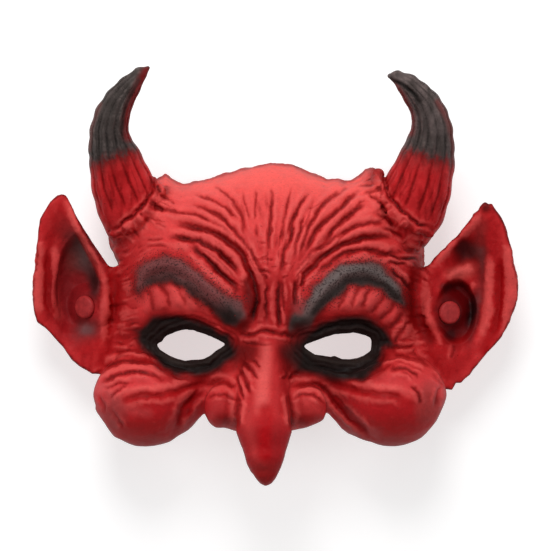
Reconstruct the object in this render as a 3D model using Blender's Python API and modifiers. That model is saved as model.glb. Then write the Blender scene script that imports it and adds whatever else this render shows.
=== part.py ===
"""Foam devil half mask, lying on its back rim with the face up.

One soft casting (face, horns, ears and hooked nose) with two round strap
buttons riveted through the ears.  +Z is the way the face looks, +Y is the top
of the head and +X is the right of a front view.  The rim rests on z = 0.
"""

import math

import bmesh
import bpy
import numpy as np
from mathutils import Matrix, Vector

for old in list(bpy.data.objects):
    bpy.data.objects.remove(old, do_unlink=True)

# ---------------------------------------------------------------- dimensions
MM = 0.001            # shapes below are worked out in millimetres
WALL = 4.0            # foam wall
GAP = 0.3             # clearance between a strap button and the foam

# The front view is laid out in drawing units of half a millimetre, x to the
# right and y down, seen from EYE in front and true to size at height TRUE_Z.
UNIT = 0.5
MID_X, MID_Y = 275.5, 275.5
EYE = 1600.0
TRUE_Z = 40.0
SHIFT_X, SHIFT_Y = 0.3, -1.8        # puts the middle of the whole mask on the origin

HEAD_CENTRE = (-4.7, -13.8)     # middle of the dome
HEAD_HALF_WIDTH = 81.0
HEAD_BOTTOM = 78.0
HEAD_DEPTH = 62.0

RIM_FLAT_END = -34.0            # the rim is flat from the top down to here
RIM_LIP_Z = 34.0                # its height under the cheeks
ARCH_Z = 51.4                   # top of the arch cut behind the nose

EAR_THICK = 4.2
BUTTON_R, SHANK_R, FLANGE_R = 5.8, 2.0, 5.4
BUTTON_H, FLANGE_H, PAD_R, PAD_H = 2.6, 1.5, 6.8, 5.0

# Rounded solids: drawing x, drawing y, z of the centre, then radii.
CHEEKS = [((147, 399, 38), (27.0, 24.2, 28.0)), ((390, 398, 38), (28.4, 24.4, 28.0))]
WINGS = [((221, 406, 58), (8.6, 11.6, 15.0)), ((307, 407, 58), (10.0, 11.6, 15.0))]

# Tapered runs: drawing x, drawing y, z, radius.
NOSE = [(269, 322, 50, 10.5), (266, 352, 56, 11.2), (264, 385, 64, 12.3), (263, 410, 72, 13.4),
        (264, 434, 79, 13.2), (265, 456, 83, 9.8), (265, 472, 83, 6.6), (265, 480, 82, 3.6)]
NOSE_BODY = [(268, 335, 48, 10.0), (264, 385, 54, 12.0), (263, 412, 58, 12.5), (263, 428, 62, 10.0)]
NOSE_HOLLOW = [(268, 340, 40, 7.5), (265, 385, 52, 8.5), (263, 412, 60, 8.0), (263, 420, 48, 8.0)]
HORNS = [
    [(135, 220, 20, 16.0), (129, 203, 24, 16.5), (122, 184, 29, 15.5), (116, 163, 34, 13.4), (111, 148, 38, 11.3),
     (109, 132, 41, 9.6), (112, 116, 44, 8.7), (119, 101, 46.5, 7.3), (129, 87, 48.5, 5.7), (140, 74, 49.5, 3.4),
     (148, 68, 50, 1.0)],
    [(402, 222, 20, 17.0), (410, 207, 24, 18.0), (418, 188, 29, 16.8), (426, 164, 34, 14.4), (430, 147, 38, 12.3),
     (432, 131, 41, 10.4), (430, 117, 43.5, 9.1), (425, 105, 45.5, 8.0), (417, 95, 47.5, 7.0), (408, 85, 49, 5.6),
     (397, 77, 49.7, 3.2), (390, 76, 50, 1.3)],
]
COLLARS = [
    [(150, 181, 27, 3.2), (152, 192, 35, 3.4), (146, 203, 40, 3.4), (136, 214, 41, 3.4), (124, 223, 37, 3.4),
     (112, 228, 28, 3.2)],
    [(380, 175, 28, 3.2), (386, 193, 36, 3.4), (396, 208, 41, 3.4), (409, 218, 42, 3.4), (423, 225, 37, 3.4),
     (433, 234, 28, 3.2)],
]

# Lines of the larger relief: drawing points, height (mm, down if negative) and half width (drawing units).
BROW_L = [(137, 285), (140, 277), (146, 270), (155, 265), (165, 263), (175, 265), (185, 270), (195, 277), (205, 285),
          (213, 292), (220, 299), (227, 306), (233, 312), (237, 318)]
BROW_R = [(300, 322), (308, 314), (315, 304), (321, 295), (328, 286), (337, 278), (347, 272), (357, 269), (367, 269),
          (377, 272), (387, 279), (395, 287), (401, 295), (405, 302)]
SMILE_L = [(203, 385), (197, 392), (186, 403), (179, 417), (174, 430)]
SMILE_R = [(332, 388), (338, 399), (350, 414), (364, 429), (373, 436)]
FOREHEAD_L = [(172, 225), (200, 230), (224, 239), (242, 254), (253, 281)]
FOREHEAD_R = [(395, 238), (357, 240), (331, 252), (308, 271), (300, 290)]

EYE_L = [(156, 345), (162, 340), (170, 334), (181, 330), (192, 330), (206, 334), (220, 341), (225, 344), (215, 352),
         (204, 359), (192, 360), (184, 361), (170, 357), (159, 350)]
EYE_R = [(304, 346), (311, 342), (320, 339), (333, 335), (346, 334), (359, 334), (370, 338), (372, 342), (371, 351),
         (364, 356), (350, 359), (337, 358), (323, 356), (311, 352)]

# Top edge of the forehead, and the lower edge between the cheeks, as drawn.
BROWLINE = [(100, 190), (150, 183), (175, 181), (190, 183), (210, 178), (232, 172), (255, 166), (270, 163), (285, 165),
            (300, 168), (320, 176), (335, 179), (350, 181), (362, 174), (374, 172), (385, 182), (440, 190)]
LIP_LINE = [(166, 449), (176, 439), (188, 431), (193, 426), (198, 420), (203, 415), (215, 411), (265, 408), (318, 411),
            (328, 414), (333, 419), (338, 425), (342, 430), (348, 435), (358, 440), (368, 448), (368, 520), (166, 520)]

# Ears: drawing y against the drawing x of the outer edge and of the inner edge.
EAR_L_OUTER = [(194, 60), (198, 54), (208, 46), (219, 40), (230, 38), (260, 37), (280, 33.5), (305, 33), (323, 37),
               (333, 50), (346, 62), (360, 72), (370, 86), (374, 93)]
EAR_L_INNER = [(194, 64), (207, 72), (217, 77), (229, 84), (249, 97), (258, 103), (269, 113), (273, 124), (345, 124),
               (374, 120)]
EAR_R_OUTER = [(202, 488), (207, 494), (220, 503), (235, 508), (252, 512), (273, 516), (295, 518), (315, 512),
               (331, 504), (345, 495), (358, 483), (375, 470), (383, 461), (386, 456)]
EAR_R_INNER = [(202, 484), (214, 473), (222, 468), (235, 458), (247, 446), (258, 434), (264, 430), (270, 415),
               (345, 412), (386, 416)]
BUTTONS = [((89, 307), -36.0, 22.0), ((446.5, 312.5), 24.0, 21.0)]   # drawing place, lean about Y (degrees), z


# ------------------------------------------------------------ layout helpers
def at(dx, dy, z):
    """Millimetres of a drawing point that lies at height z."""
    k = UNIT * (EYE - z) / (EYE - TRUE_Z)
    return np.array([(dx - MID_X) * k + SHIFT_X, (MID_Y - dy) * k + SHIFT_Y, z], float)


def drawing(x, y, z):
    """Drawing point under which a place shows."""
    k = UNIT * (EYE - z) / (EYE - TRUE_Z)
    return (x - SHIFT_X) / k + MID_X, MID_Y - (y - SHIFT_Y) / k


def smooth_step(a, b, v):
    t = np.clip((v - a) / (b - a), 0.0, 1.0)
    return t * t * (3 - 2 * t)


def blend_union(a, b, k):
    h = np.clip(0.5 + 0.5 * (b - a) / k, 0.0, 1.0)
    return b + (a - b) * h - k * h * (1 - h)


def line_distance(u, v, points):
    best = np.full(np.shape(u), 1e9)
    for (ax, ay), (bx, by) in zip(points, points[1:]):
        ex, ey = bx - ax, by - ay
        t = np.clip(((u - ax) * ex + (v - ay) * ey) / (ex * ex + ey * ey), 0, 1)
        best = np.minimum(best, np.hypot(u - ax - t * ex, v - ay - t * ey))
    return best


# ---------------------------------------------------------------- form field
def dome(x, y, z):
    """Signed distance, near enough, to the head's rounded front."""
    px, py = x - HEAD_CENTRE[0], y - HEAD_CENTRE[1]
    zz = np.maximum(z, 0.0)
    u = np.abs(px) / HEAD_HALF_WIDTH
    dx, _ = drawing(x, y, np.zeros_like(x))
    line = np.interp(dx, [p[0] for p in BROWLINE], [p[1] for p in BROWLINE])
    top = at(0, 1, 0)[1] - at(0, 0, 0)[1]
    top = at(0, 0, 0)[1] + line * top - HEAD_CENTRE[1]
    top = top / np.maximum(1 - np.minimum(u, 1) ** 4, 0.2) ** 0.25
    b = np.where(py > 0, top, HEAD_BOTTOM)
    v = np.abs(py) / b
    rho = np.maximum((u ** 4 + v ** 4) ** 0.25, 1e-6)
    g = rho ** 2.3 + (zz / HEAD_DEPTH) ** 2
    gr = 2.3 * rho ** 1.3 / rho ** 3
    slope = np.sqrt((gr * u ** 3 / HEAD_HALF_WIDTH) ** 2 + (gr * v ** 3 / b) ** 2 + (2 * zz / HEAD_DEPTH ** 2) ** 2)
    return (g - 1) / np.maximum(slope, 0.014)


def ball(x, y, z, centre, radii):
    c = at(*centre)
    a = [(x - c[0]) / radii[0], (y - c[1]) / radii[1], (z - c[2]) / radii[2]]
    k0 = np.sqrt(sum(q * q for q in a))
    k1 = np.sqrt(sum((q / r) ** 2 for q, r in zip(a, radii)))
    return k0 * (k0 - 1) / np.maximum(k1, 1e-6)


def run(x, y, z, spec, soft=2.0):
    """Tapered round run through the given places."""
    total = None
    for p, q in zip(spec, spec[1:]):
        a, b = at(*p[:3]), at(*q[:3])
        e = b - a
        t = np.clip(((x - a[0]) * e[0] + (y - a[1]) * e[1] + (z - a[2]) * e[2]) / e.dot(e), 0, 1)
        d = np.sqrt((x - a[0] - t * e[0]) ** 2 + (y - a[1] - t * e[1]) ** 2 + (z - a[2] - t * e[2]) ** 2)
        d = d - (p[3] + (q[3] - p[3]) * t)
        total = d if total is None else blend_union(total, d, soft)
    return total


def relief(u, v):
    """Height of the larger carving over the smooth face, in millimetres."""
    h = 3.4 * np.exp(-(line_distance(u, v, BROW_L) / 9.0) ** 2)
    h = h + 3.4 * np.exp(-(line_distance(u, v, BROW_R) / 9.0) ** 2)
    for cx, cy, rx, ry in ((190, 345, 50, 27), (344, 346, 50, 27)):
        h = h - 6.0 * np.exp(-((((u - cx) / rx) ** 2 + ((v - cy) / ry) ** 2) ** 1.5))
    for cx, cy in ((180, 298), (360, 300)):
        h = h + 1.8 * np.exp(-(((u - cx) / 30) ** 2 + ((v - cy) / 13) ** 2))
    for line in (SMILE_L, SMILE_R):
        h = h - 2.4 * np.exp(-(line_distance(u, v, line) / 6.0) ** 2)
    for line in (FOREHEAD_L, FOREHEAD_R):
        h = h - 1.6 * np.exp(-(line_distance(u, v, line) / 8.0) ** 2)
    return h


def face_form(x, y, z):
    d = dome(x, y, z)
    for centre, radii in CHEEKS:
        d = blend_union(d, ball(x, y, z, centre, radii), 9.0)
    d = blend_union(d, run(x, y, z, NOSE), 5.0)
    d = blend_union(d, run(x, y, z, NOSE_BODY), 5.0)
    for centre, radii in WINGS:
        d = blend_union(d, ball(x, y, z, centre, radii), 3.0)
    u, v = drawing(x, y, z)
    return d - relief(u, v) * smooth_step(15, 35, z)


def hollow_form(x, y, z):
    d = dome(x, y, z)
    for centre, radii in CHEEKS:
        d = blend_union(d, ball(x, y, z, centre, radii), 9.0)
    u, v = drawing(x, y, z)
    d = d + WALL + np.maximum(0, -relief(u, v)) * 0.9 * smooth_step(15, 35, z)
    return blend_union(d, run(x, y, z, NOSE_HOLLOW), 3.0)


def ear_height(side, u, v):
    if side == 0:
        cup = np.exp(-(((u - 74) / 24) ** 2 + ((v - 284) / 52) ** 2) ** 1.4)
        z = 25.0 + 4.0 * smooth_step(290, 200, v) + 2.0 * smooth_step(60, 36, u) - 4.0 * smooth_step(95, 118, u)
    else:
        cup = np.exp(-(((u - 468) / 24) ** 2 + ((v - 288) / 52) ** 2) ** 1.4)
        z = 25.0 + 4.0 * smooth_step(290, 200, v) + 2.0 * smooth_step(490, 515, u) - 4.0 * smooth_step(445, 420, u)
    z = z - 10.0 * cup
    (bx, by), lean, bz = BUTTONS[side]
    seat = bz - math.tan(math.radians(lean)) * (u - bx) * UNIT
    return z + (seat - z) * (1 - smooth_step(14, 30, np.hypot(u - bx, v - by)))


# ------------------------------------------------------------- mesh helpers
part = bpy.data.collections.new("devil_half_mask")
tools = bpy.data.collections.new("cutters")
bpy.context.scene.collection.children.link(part)
bpy.context.scene.collection.children.link(tools)


def add_object(name, bm, collection):
    bmesh.ops.recalc_face_normals(bm, faces=bm.faces)
    mesh = bpy.data.meshes.new(name)
    bm.to_mesh(mesh)
    bm.free()
    ob = bpy.data.objects.new(name, mesh)
    collection.objects.link(ob)
    if collection is tools:
        ob.hide_render = True
        ob.display_type = "WIRE"
    return ob


def boolean(ob, cutter, operation):
    mod = ob.modifiers.new(operation.lower() + "_" + cutter.name, "BOOLEAN")
    mod.object, mod.operation, mod.solver = cutter, operation, "EXACT"
    return mod


def disc_direction(a, b, widest):
    """Square place (a, b) in -1..1 to a direction, evenly over a cap about +Z."""
    if abs(a) < 1e-9 and abs(b) < 1e-9:
        return 0.0, 0.0, 1.0
    if abs(a) > abs(b):
        r, ang = a, math.pi / 4 * b / a
    else:
        r, ang = b, math.pi / 2 - math.pi / 4 * a / b
    if r < 0:
        r, ang = -r, ang + math.pi
    tilt = widest * r
    return math.sin(tilt) * math.cos(ang), math.sin(tilt) * math.sin(ang), math.cos(tilt)


def cap_on_form(name, form, nx, ny, widest, floor_z):
    """A grid wrapped round the form as seen from inside it, closed flat at floor_z."""
    bm = bmesh.new()
    bmesh.ops.create_grid(bm, x_segments=nx, y_segments=ny, size=1.0)
    bm.verts.ensure_lookup_table()
    heart = np.array([-4.0, -16.0, 12.0])
    way = np.array([disc_direction(v.co.x, v.co.y, widest) for v in bm.verts])
    steps = np.arange(12.0, 150.0, 0.5)
    pos = heart + way[:, None, :] * steps[None, :, None]
    inside = form(pos[..., 0], pos[..., 1], pos[..., 2]) < 0
    last = inside.shape[1] - 1 - np.argmax(inside[:, ::-1], axis=1)
    lo, hi = steps[last], steps[np.minimum(last + 1, len(steps) - 1)]
    for _ in range(18):
        mid = (lo + hi) / 2
        p = heart + way * mid[:, None]
        within = form(p[:, 0], p[:, 1], p[:, 2]) < 0
        lo, hi = np.where(within, mid, lo), np.where(within, hi, mid)
    spot = heart + way * lo[:, None]
    for v, p in zip(bm.verts, spot):
        edge = any(e.is_boundary for e in v.link_edges)
        v.co = Vector((p[0], p[1], floor_z if edge else p[2])) * MM
    rim = [e for e in bm.edges if e.is_boundary]
    bmesh.ops.holes_fill(bm, edges=rim, sides=0)
    return add_object(name, bm, tools)


def tube(name, spec, resolution=3):
    """Tapered round solid through places of the drawing, from a bevelled curve."""
    data = bpy.data.curves.new(name, "CURVE")
    data.dimensions = "3D"
    data.bevel_depth = 1.0 * MM
    data.bevel_resolution = resolution
    data.use_fill_caps = True
    spline = data.splines.new("POLY")
    spline.points.add(len(spec) - 1)
    for point, (dx, dy, z, r) in zip(spline.points, spec):
        point.co = tuple(at(dx, dy, z) * MM) + (1.0,)
        point.radius = r
    curve = bpy.data.objects.new(name + "_curve", data)
    tools.objects.link(curve)
    bpy.context.view_layer.update()
    mesh = bpy.data.meshes.new_from_object(curve.evaluated_get(bpy.context.evaluated_depsgraph_get()))
    bm = bmesh.new()
    bm.from_mesh(mesh)
    bmesh.ops.remove_doubles(bm, verts=bm.verts, dist=0.00002)
    ob = add_object(name, bm, tools)
    ob.matrix_world = curve.matrix_world
    bpy.data.objects.remove(curve, do_unlink=True)
    bpy.data.meshes.remove(mesh)
    return ob


def refine(spec, n):
    """Evenly spaced places on a smooth curve through a tapered run's own."""
    pts = np.array(spec, float)
    s = np.concatenate([[0], np.cumsum(np.linalg.norm(np.diff(pts[:, :2], axis=0), axis=1))])
    out = []
    for q in np.linspace(0, s[-1], n):
        i = min(max(int(np.searchsorted(s, q)) - 1, 0), len(pts) - 2)
        t = (q - s[i]) / (s[i + 1] - s[i])
        p0, p1, p2, p3 = pts[max(i - 1, 0)], pts[i], pts[i + 1], pts[min(i + 2, len(pts) - 1)]
        out.append(tuple(0.5 * (2 * p1 + (p2 - p0) * t + (2 * p0 - 5 * p1 + 4 * p2 - p3) * t ** 2
                                + (3 * p1 - p0 - 3 * p2 + p3) * t ** 3)))
    return out


def prism(name, outline, z0, z1, drawn_at=None):
    """Upright prism of a closed outline, in drawing units if drawn_at is given."""
    data = bpy.data.curves.new(name, "CURVE")
    data.dimensions = "2D"
    data.fill_mode = "BOTH"
    data.extrude = (z1 - z0) / 2 * MM
    spline = data.splines.new("POLY")
    spline.points.add(len(outline) - 1)
    spline.use_cyclic_u = True
    for point, (a, b) in zip(spline.points, outline):
        place = at(a, b, drawn_at) if drawn_at is not None else (a, b)
        point.co = (place[0] * MM, place[1] * MM, 0.0, 1.0)
    curve = bpy.data.objects.new(name + "_curve", data)
    curve.location.z = (z0 + z1) / 2 * MM
    tools.objects.link(curve)
    bpy.context.view_layer.update()
    mesh = bpy.data.meshes.new_from_object(curve.evaluated_get(bpy.context.evaluated_depsgraph_get()))
    bm = bmesh.new()
    bm.from_mesh(mesh)
    bmesh.ops.remove_doubles(bm, verts=bm.verts, dist=0.00002)
    ob = add_object(name, bm, tools)
    ob.matrix_world = curve.matrix_world
    bpy.data.objects.remove(curve, do_unlink=True)
    bpy.data.meshes.remove(mesh)
    return ob


def ear_sheet(name, side, outer, inner, rows=17, columns=9):
    """Dished ear leaf: a grid between its two edges, thickened both ways."""
    bm = bmesh.new()
    bmesh.ops.create_grid(bm, x_segments=columns, y_segments=rows, size=1.0)
    top, bottom = outer[0][0], outer[-1][0]
    for v in bm.verts:
        s = (v.co.x + 1) / 2
        dy = bottom + (top - bottom) * (v.co.y + 1) / 2
        a = np.interp(dy, [p[0] for p in outer], [p[1] for p in outer])
        b = np.interp(dy, [p[0] for p in inner], [p[1] for p in inner])
        dx = (a + (b - a) * s) if side == 0 else (b + (a - b) * s)
        v.co = Vector(at(dx, dy, float(ear_height(side, dx, dy)))) * MM
    ob = add_object(name, bm, tools)
    mod = ob.modifiers.new("leaf", "SOLIDIFY")
    mod.thickness = EAR_THICK * MM
    mod.offset = 0.0
    return ob


def button_frame(side):
    (dx, dy), lean, z = BUTTONS[side]
    place = Vector(at(dx, dy, z)) * MM
    return Matrix.Translation(place) @ Matrix.Rotation(math.radians(lean), 4, "Y")


def cylinder(name, radius, z0, z1, frame, sides=24):
    bm = bmesh.new()
    bmesh.ops.create_cone(bm, cap_ends=True, segments=sides, radius1=radius * MM, radius2=radius * MM,
                          depth=(z1 - z0) * MM)
    bmesh.ops.translate(bm, verts=bm.verts, vec=(0, 0, (z0 + z1) / 2 * MM))
    bmesh.ops.transform(bm, verts=bm.verts, matrix=frame)
    return add_object(name, bm, tools)


def material(name, colour, roughness):
    mat = bpy.data.materials.new(name)
    mat.use_nodes = True
    shader = mat.node_tree.nodes["Principled BSDF"]
    shader.inputs["Base Color"].default_value = (*colour, 1.0)
    shader.inputs["Roughness"].default_value = roughness
    shader.inputs["Metallic"].default_value = 0.0
    return mat


# ---------------------------------------------------------------- the casting
shell = cap_on_form("mask_shell", face_form, 48, 46, math.radians(101), -8.0)
tools.objects.unlink(shell)
part.objects.link(shell)
shell.hide_render = False
shell.display_type = "TEXTURED"

hollow = cap_on_form("hollow", hollow_form, 24, 22, math.radians(101), -12.0)

horns = [tube("horn_left", refine(HORNS[0], 16)), tube("horn_right", refine(HORNS[1], 16))]
collars = [tube("collar_left", refine(COLLARS[0], 9), 1), tube("collar_right", refine(COLLARS[1], 9), 1)]
ears = [ear_sheet("ear_left", 0, EAR_L_OUTER, EAR_L_INNER), ear_sheet("ear_right", 1, EAR_R_OUTER, EAR_R_INNER)]
pads = [cylinder("pad_left", PAD_R, -PAD_H / 2, PAD_H / 2, button_frame(0)),
        cylinder("pad_right", PAD_R, -PAD_H / 2, PAD_H / 2, button_frame(1))]
for solid in horns + collars + ears + pads:
    boolean(shell, solid, "UNION")

# Lip arch: an upright cut behind the nose, between the cheeks.
arch = prism("lip_arch", LIP_LINE, -20, ARCH_Z, 48)

# Rim: flat for the forehead and temples, then rising under the cheeks.
profile = [(70.0, 0.0)]
for i in range(13):
    t = i / 12
    profile.append((RIM_FLAT_END - 50.0 * t, RIM_LIP_Z * (3 * t * t - 2 * t ** 3)))
profile += [(-130.0, RIM_LIP_Z), (-130.0, -30.0), (70.0, -30.0)]
rim = prism("rim_cut", profile, -140, 140)
rim.matrix_world = Matrix(((0, 0, 1, 0), (1, 0, 0, 0), (0, 1, 0, 0), (0, 0, 0, 1)))
boolean(rim, arch, "UNION")
boolean(shell, rim, "DIFFERENCE")

boolean(shell, hollow, "DIFFERENCE")
boolean(shell, prism("eye_left", EYE_L, 25, 90, 54), "DIFFERENCE")
boolean(shell, prism("eye_right", EYE_R, 25, 90, 54), "DIFFERENCE")

for side in (0, 1):       # flat seats for the button's head and flange, and its hole
    boolean(shell, cylinder("seat_front_%d" % side, BUTTON_R + 0.6, PAD_H / 2, 9, button_frame(side)), "DIFFERENCE")
    boolean(shell, cylinder("seat_back_%d" % side, FLANGE_R + 0.6, -9, -PAD_H / 2, button_frame(side)), "DIFFERENCE")
    boolean(shell, cylinder("strap_hole_%d" % side, SHANK_R + GAP, -12, 12, button_frame(side), 16), "DIFFERENCE")
shell.data.materials.append(material("foam_latex", (0.55, 0.03, 0.035), 0.62))


# --------------------------------------------------------- the strap buttons
def strap_button(name, side, mat):
    """A rivet turned about its own axis: domed head, shank and flat flange."""
    front, back = PAD_H / 2 + GAP, -PAD_H / 2 - GAP
    outline = [(0, front + BUTTON_H)]
    for i in range(1, 6):
        a = math.radians(90 * i / 5.5)
        outline.append((BUTTON_R * math.sin(a), front + 0.7 + (BUTTON_H - 0.7) * math.cos(a)))
    outline += [(BUTTON_R, front + 0.6), (BUTTON_R - 0.3, front), (SHANK_R, front), (SHANK_R, back),
                (FLANGE_R - 0.3, back), (FLANGE_R, back - 0.3), (FLANGE_R, back - FLANGE_H + 0.3),
                (FLANGE_R - 0.3, back - FLANGE_H), (0, back - FLANGE_H)]
    bm = bmesh.new()
    verts = [bm.verts.new((r * MM, 0, z * MM)) for r, z in outline]
    for a, b in zip(verts, verts[1:]):
        bm.edges.new((a, b))
    mesh = bpy.data.meshes.new(name)
    bm.to_mesh(mesh)
    bm.free()
    ob = bpy.data.objects.new(name, mesh)
    part.objects.link(ob)
    ob.matrix_world = button_frame(side)
    turn = ob.modifiers.new("turn", "SCREW")
    turn.axis, turn.angle = "Z", 2 * math.pi
    turn.steps = turn.render_steps = 20
    turn.use_merge_vertices, turn.merge_threshold = True, 0.00001
    turn.use_smooth_shade = True
    ob.data.materials.append(mat)
    return ob


plastic = material("strap_plastic", (0.33, 0.04, 0.04), 0.4)
strap_button("strap_button_left", 0, plastic)
strap_button("strap_button_right", 1, plastic)
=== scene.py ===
"""Looks of the foam devil half mask: one fine sculpted skin in place of the plain casting,
painted by analytic masks laid out in the same front-view drawing units as the casting."""
import math

import bpy
import numpy as np
from mathutils import Matrix, Vector


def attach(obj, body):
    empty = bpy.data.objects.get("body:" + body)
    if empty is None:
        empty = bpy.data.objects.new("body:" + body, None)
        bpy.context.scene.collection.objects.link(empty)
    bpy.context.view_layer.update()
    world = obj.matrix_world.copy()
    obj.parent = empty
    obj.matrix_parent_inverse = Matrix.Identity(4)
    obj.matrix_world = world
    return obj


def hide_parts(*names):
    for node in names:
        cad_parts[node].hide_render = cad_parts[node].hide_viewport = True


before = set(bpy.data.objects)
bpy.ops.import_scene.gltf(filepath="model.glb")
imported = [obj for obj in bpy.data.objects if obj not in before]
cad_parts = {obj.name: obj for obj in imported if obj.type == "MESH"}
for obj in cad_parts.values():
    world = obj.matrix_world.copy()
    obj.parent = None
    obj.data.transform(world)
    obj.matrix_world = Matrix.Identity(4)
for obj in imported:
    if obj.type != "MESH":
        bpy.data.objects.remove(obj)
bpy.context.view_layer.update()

# ------------------------------------------------------------------ layout
WALL = 4.0
UNIT, MID_X, MID_Y = 0.5, 275.5, 275.5
EYE, TRUE_Z = 1600.0, 40.0
SHIFT_X, SHIFT_Y = 0.3, -1.8
HEAD_CENTRE = (-4.7, -13.8)
HEAD_HALF_WIDTH, HEAD_BOTTOM, HEAD_DEPTH = 81.0, 78.0, 62.0
RIM_FLAT_END, RIM_LIP_Z, ARCH_Z = -34.0, 34.0, 51.4
EAR_THICK = 4.2
PAD_R, PAD_H, SHANK_R, GAP = 6.8, 5.0, 2.0, 0.3
STEP = 1.3                       # first net, millimetres; it is halved once

CHEEKS = [((147, 399, 38), (27.0, 24.2, 28.0)), ((390, 398, 38), (28.4, 24.4, 28.0))]
WINGS = [((221, 406, 58), (8.6, 11.2, 14.0)), ((307, 407, 58), (10.0, 11.2, 14.0))]
ALAE = [((236, 405, 52), (10.0, 12.6, 15.0)), ((292, 405, 52), (10.0, 12.6, 15.0))]
NOSE = [(269, 322, 50, 10.5), (266, 352, 56, 11.2), (264, 385, 64, 12.3), (263, 410, 72, 13.4),
        (264, 434, 79, 13.2), (265, 456, 83, 9.8), (265, 472, 83, 6.6), (265, 480, 82, 3.6)]
NOSE_BODY = [(268, 335, 48, 10.0), (264, 385, 54, 12.0), (263, 412, 58, 12.5), (263, 428, 62, 10.0)]
NOSE_HOLLOW = [(268, 340, 40, 7.5), (265, 385, 52, 8.5), (263, 412, 60, 8.0), (263, 420, 48, 8.0)]
HORNS = [
    [(135, 220, 20, 16.0), (129, 203, 24, 16.5), (122, 184, 29, 15.5), (116, 163, 34, 13.4), (111, 148, 38, 11.3),
     (109, 132, 41, 9.6), (112, 116, 44, 8.7), (119, 101, 46.5, 7.3), (129, 87, 48.5, 5.7), (140, 74, 49.5, 3.4),
     (148, 68, 50, 1.0)],
    [(402, 222, 20, 17.0), (410, 207, 24, 18.0), (418, 188, 29, 16.8), (426, 164, 34, 14.4), (430, 147, 38, 12.3),
     (432, 131, 41, 10.4), (430, 117, 43.5, 9.1), (425, 105, 45.5, 8.0), (417, 95, 47.5, 7.0), (408, 85, 49, 5.6),
     (397, 77, 49.7, 3.2), (390, 76, 50, 1.3)],
]
COLLARS = [
    [(153, 182, 27, 2.8), (158, 191, 35, 3.0), (153, 200, 39, 3.2), (149, 208, 41, 2.9), (140, 217, 41, 3.2),
     (129, 226, 38, 2.8), (115, 233, 31, 2.6)],
    [(378, 174, 27, 2.8), (380, 187, 35, 3.0), (384, 201, 40, 3.2), (395, 213, 42, 3.0), (404, 221, 42, 3.2),
     (415, 228, 40, 2.8), (430, 233, 31, 2.2)],
]
BROW_L = [(137, 285), (140, 277), (146, 270), (155, 265), (165, 263), (175, 265), (185, 270), (195, 277), (205, 285),
          (213, 292), (220, 299), (227, 306), (233, 312), (237, 318)]
BROW_R = [(300, 322), (308, 314), (315, 304), (321, 295), (328, 286), (337, 278), (347, 272), (357, 269), (367, 269),
          (377, 272), (387, 279), (395, 287), (401, 295), (405, 302)]
SMILE_L = [(203, 385), (197, 392), (186, 403), (179, 417), (174, 430)]
SMILE_R = [(332, 388), (338, 399), (350, 414), (364, 429), (373, 436)]
FOREHEAD_L = [(172, 225), (200, 230), (224, 239), (242, 254), (253, 281)]
FOREHEAD_R = [(395, 238), (357, 240), (331, 252), (308, 271), (300, 290)]
EYE_L = [(155.8, 345.5), (158, 343.2), (161, 341.8), (163, 338.6), (166, 336.2), (170, 334.3), (175, 332.3),
         (181.5, 330.4), (187, 329.7), (193, 330.2), (199.3, 331.8), (205.8, 334.1), (213.7, 337.4), (219.8, 340.7),
         (225.2, 344.2), (219.8, 348.6), (215, 351.9), (210.5, 355.6), (203.9, 358.7), (198, 359.8), (191.8, 360.3),
         (184.3, 361), (178.7, 359.6), (169.4, 356.5), (163.8, 353.3), (159, 350.3)]
EYE_R = [(303.8, 346.2), (306, 344), (311, 342), (320, 338.8), (330, 335.5), (336, 334.1), (346, 333.7), (353, 333),
         (359, 333.8), (366, 335.8), (370.5, 338.2), (372, 341), (371.8, 346), (371.3, 351), (368.8, 353.2),
         (364, 356.5), (358, 358.8), (350, 359.5), (342, 359.3), (337, 357.4), (334.6, 356.2), (331, 357.2),
         (323, 356), (315, 354.8), (310, 351.5), (306, 349)]
BROWLINE = [(100, 190), (148, 184), (155, 181), (161, 177), (166, 174.5), (171, 178), (176, 181.5), (183, 183.5),
            (190, 183), (200, 180), (210, 178.3), (220, 175), (232, 172), (240, 169), (255, 166), (270, 163), (282, 164),
            (292, 165), (300, 168), (310, 172.5), (320, 176), (326, 178.5), (338, 178.5), (344, 181), (350, 180.5),
            (355, 178), (361, 174.5), (365, 170), (370, 167.5), (376, 169), (380, 177), (388, 184), (440, 190)]
LIP_LINE = [(166, 449), (176, 439), (188, 431), (193, 426), (198, 420), (203, 415), (215, 411), (265, 408), (318, 411),
            (328, 414), (333, 419), (338, 425), (342, 430), (348, 435), (358, 440), (368, 448), (368, 520), (166, 520)]
EAR_L = [(62, 194), (57, 195.5), (54, 198), (50, 202), (46, 208), (42.5, 214), (40, 219), (38, 230), (37.5, 245),
         (37, 260), (35.5, 270), (33.5, 280), (33, 292), (33.5, 305), (34.5, 314), (37, 322.5), (45, 328), (50, 333),
         (57, 341), (62, 346), (67, 353), (72, 360), (79, 366), (86, 370), (92, 374), (124, 374), (124, 273),
         (112, 269), (108, 265), (103, 258), (97, 249), (91, 240), (84, 229), (77, 217), (72, 207), (68, 198),
         (65.5, 195)]
EAR_R = [(483, 203), (486, 202), (488, 204), (492, 203.5), (494, 207), (498, 213), (503, 220), (506, 227), (508, 235),
         (510, 243), (512, 252), (513, 262), (516, 273), (518, 285), (518, 295), (516, 305), (512, 315), (508, 324),
         (504, 331), (500, 339), (495, 345), (488, 352), (483, 358), (478, 364), (473, 370), (470, 375), (465, 379),
         (461, 383), (456, 383), (452, 390), (412, 386), (412, 271), (428, 266), (430, 264), (434, 258), (440, 252),
         (446, 247), (452, 240), (458, 235), (463, 228), (468, 222), (472, 217), (473, 214), (478, 210), (480, 206)]
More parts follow.
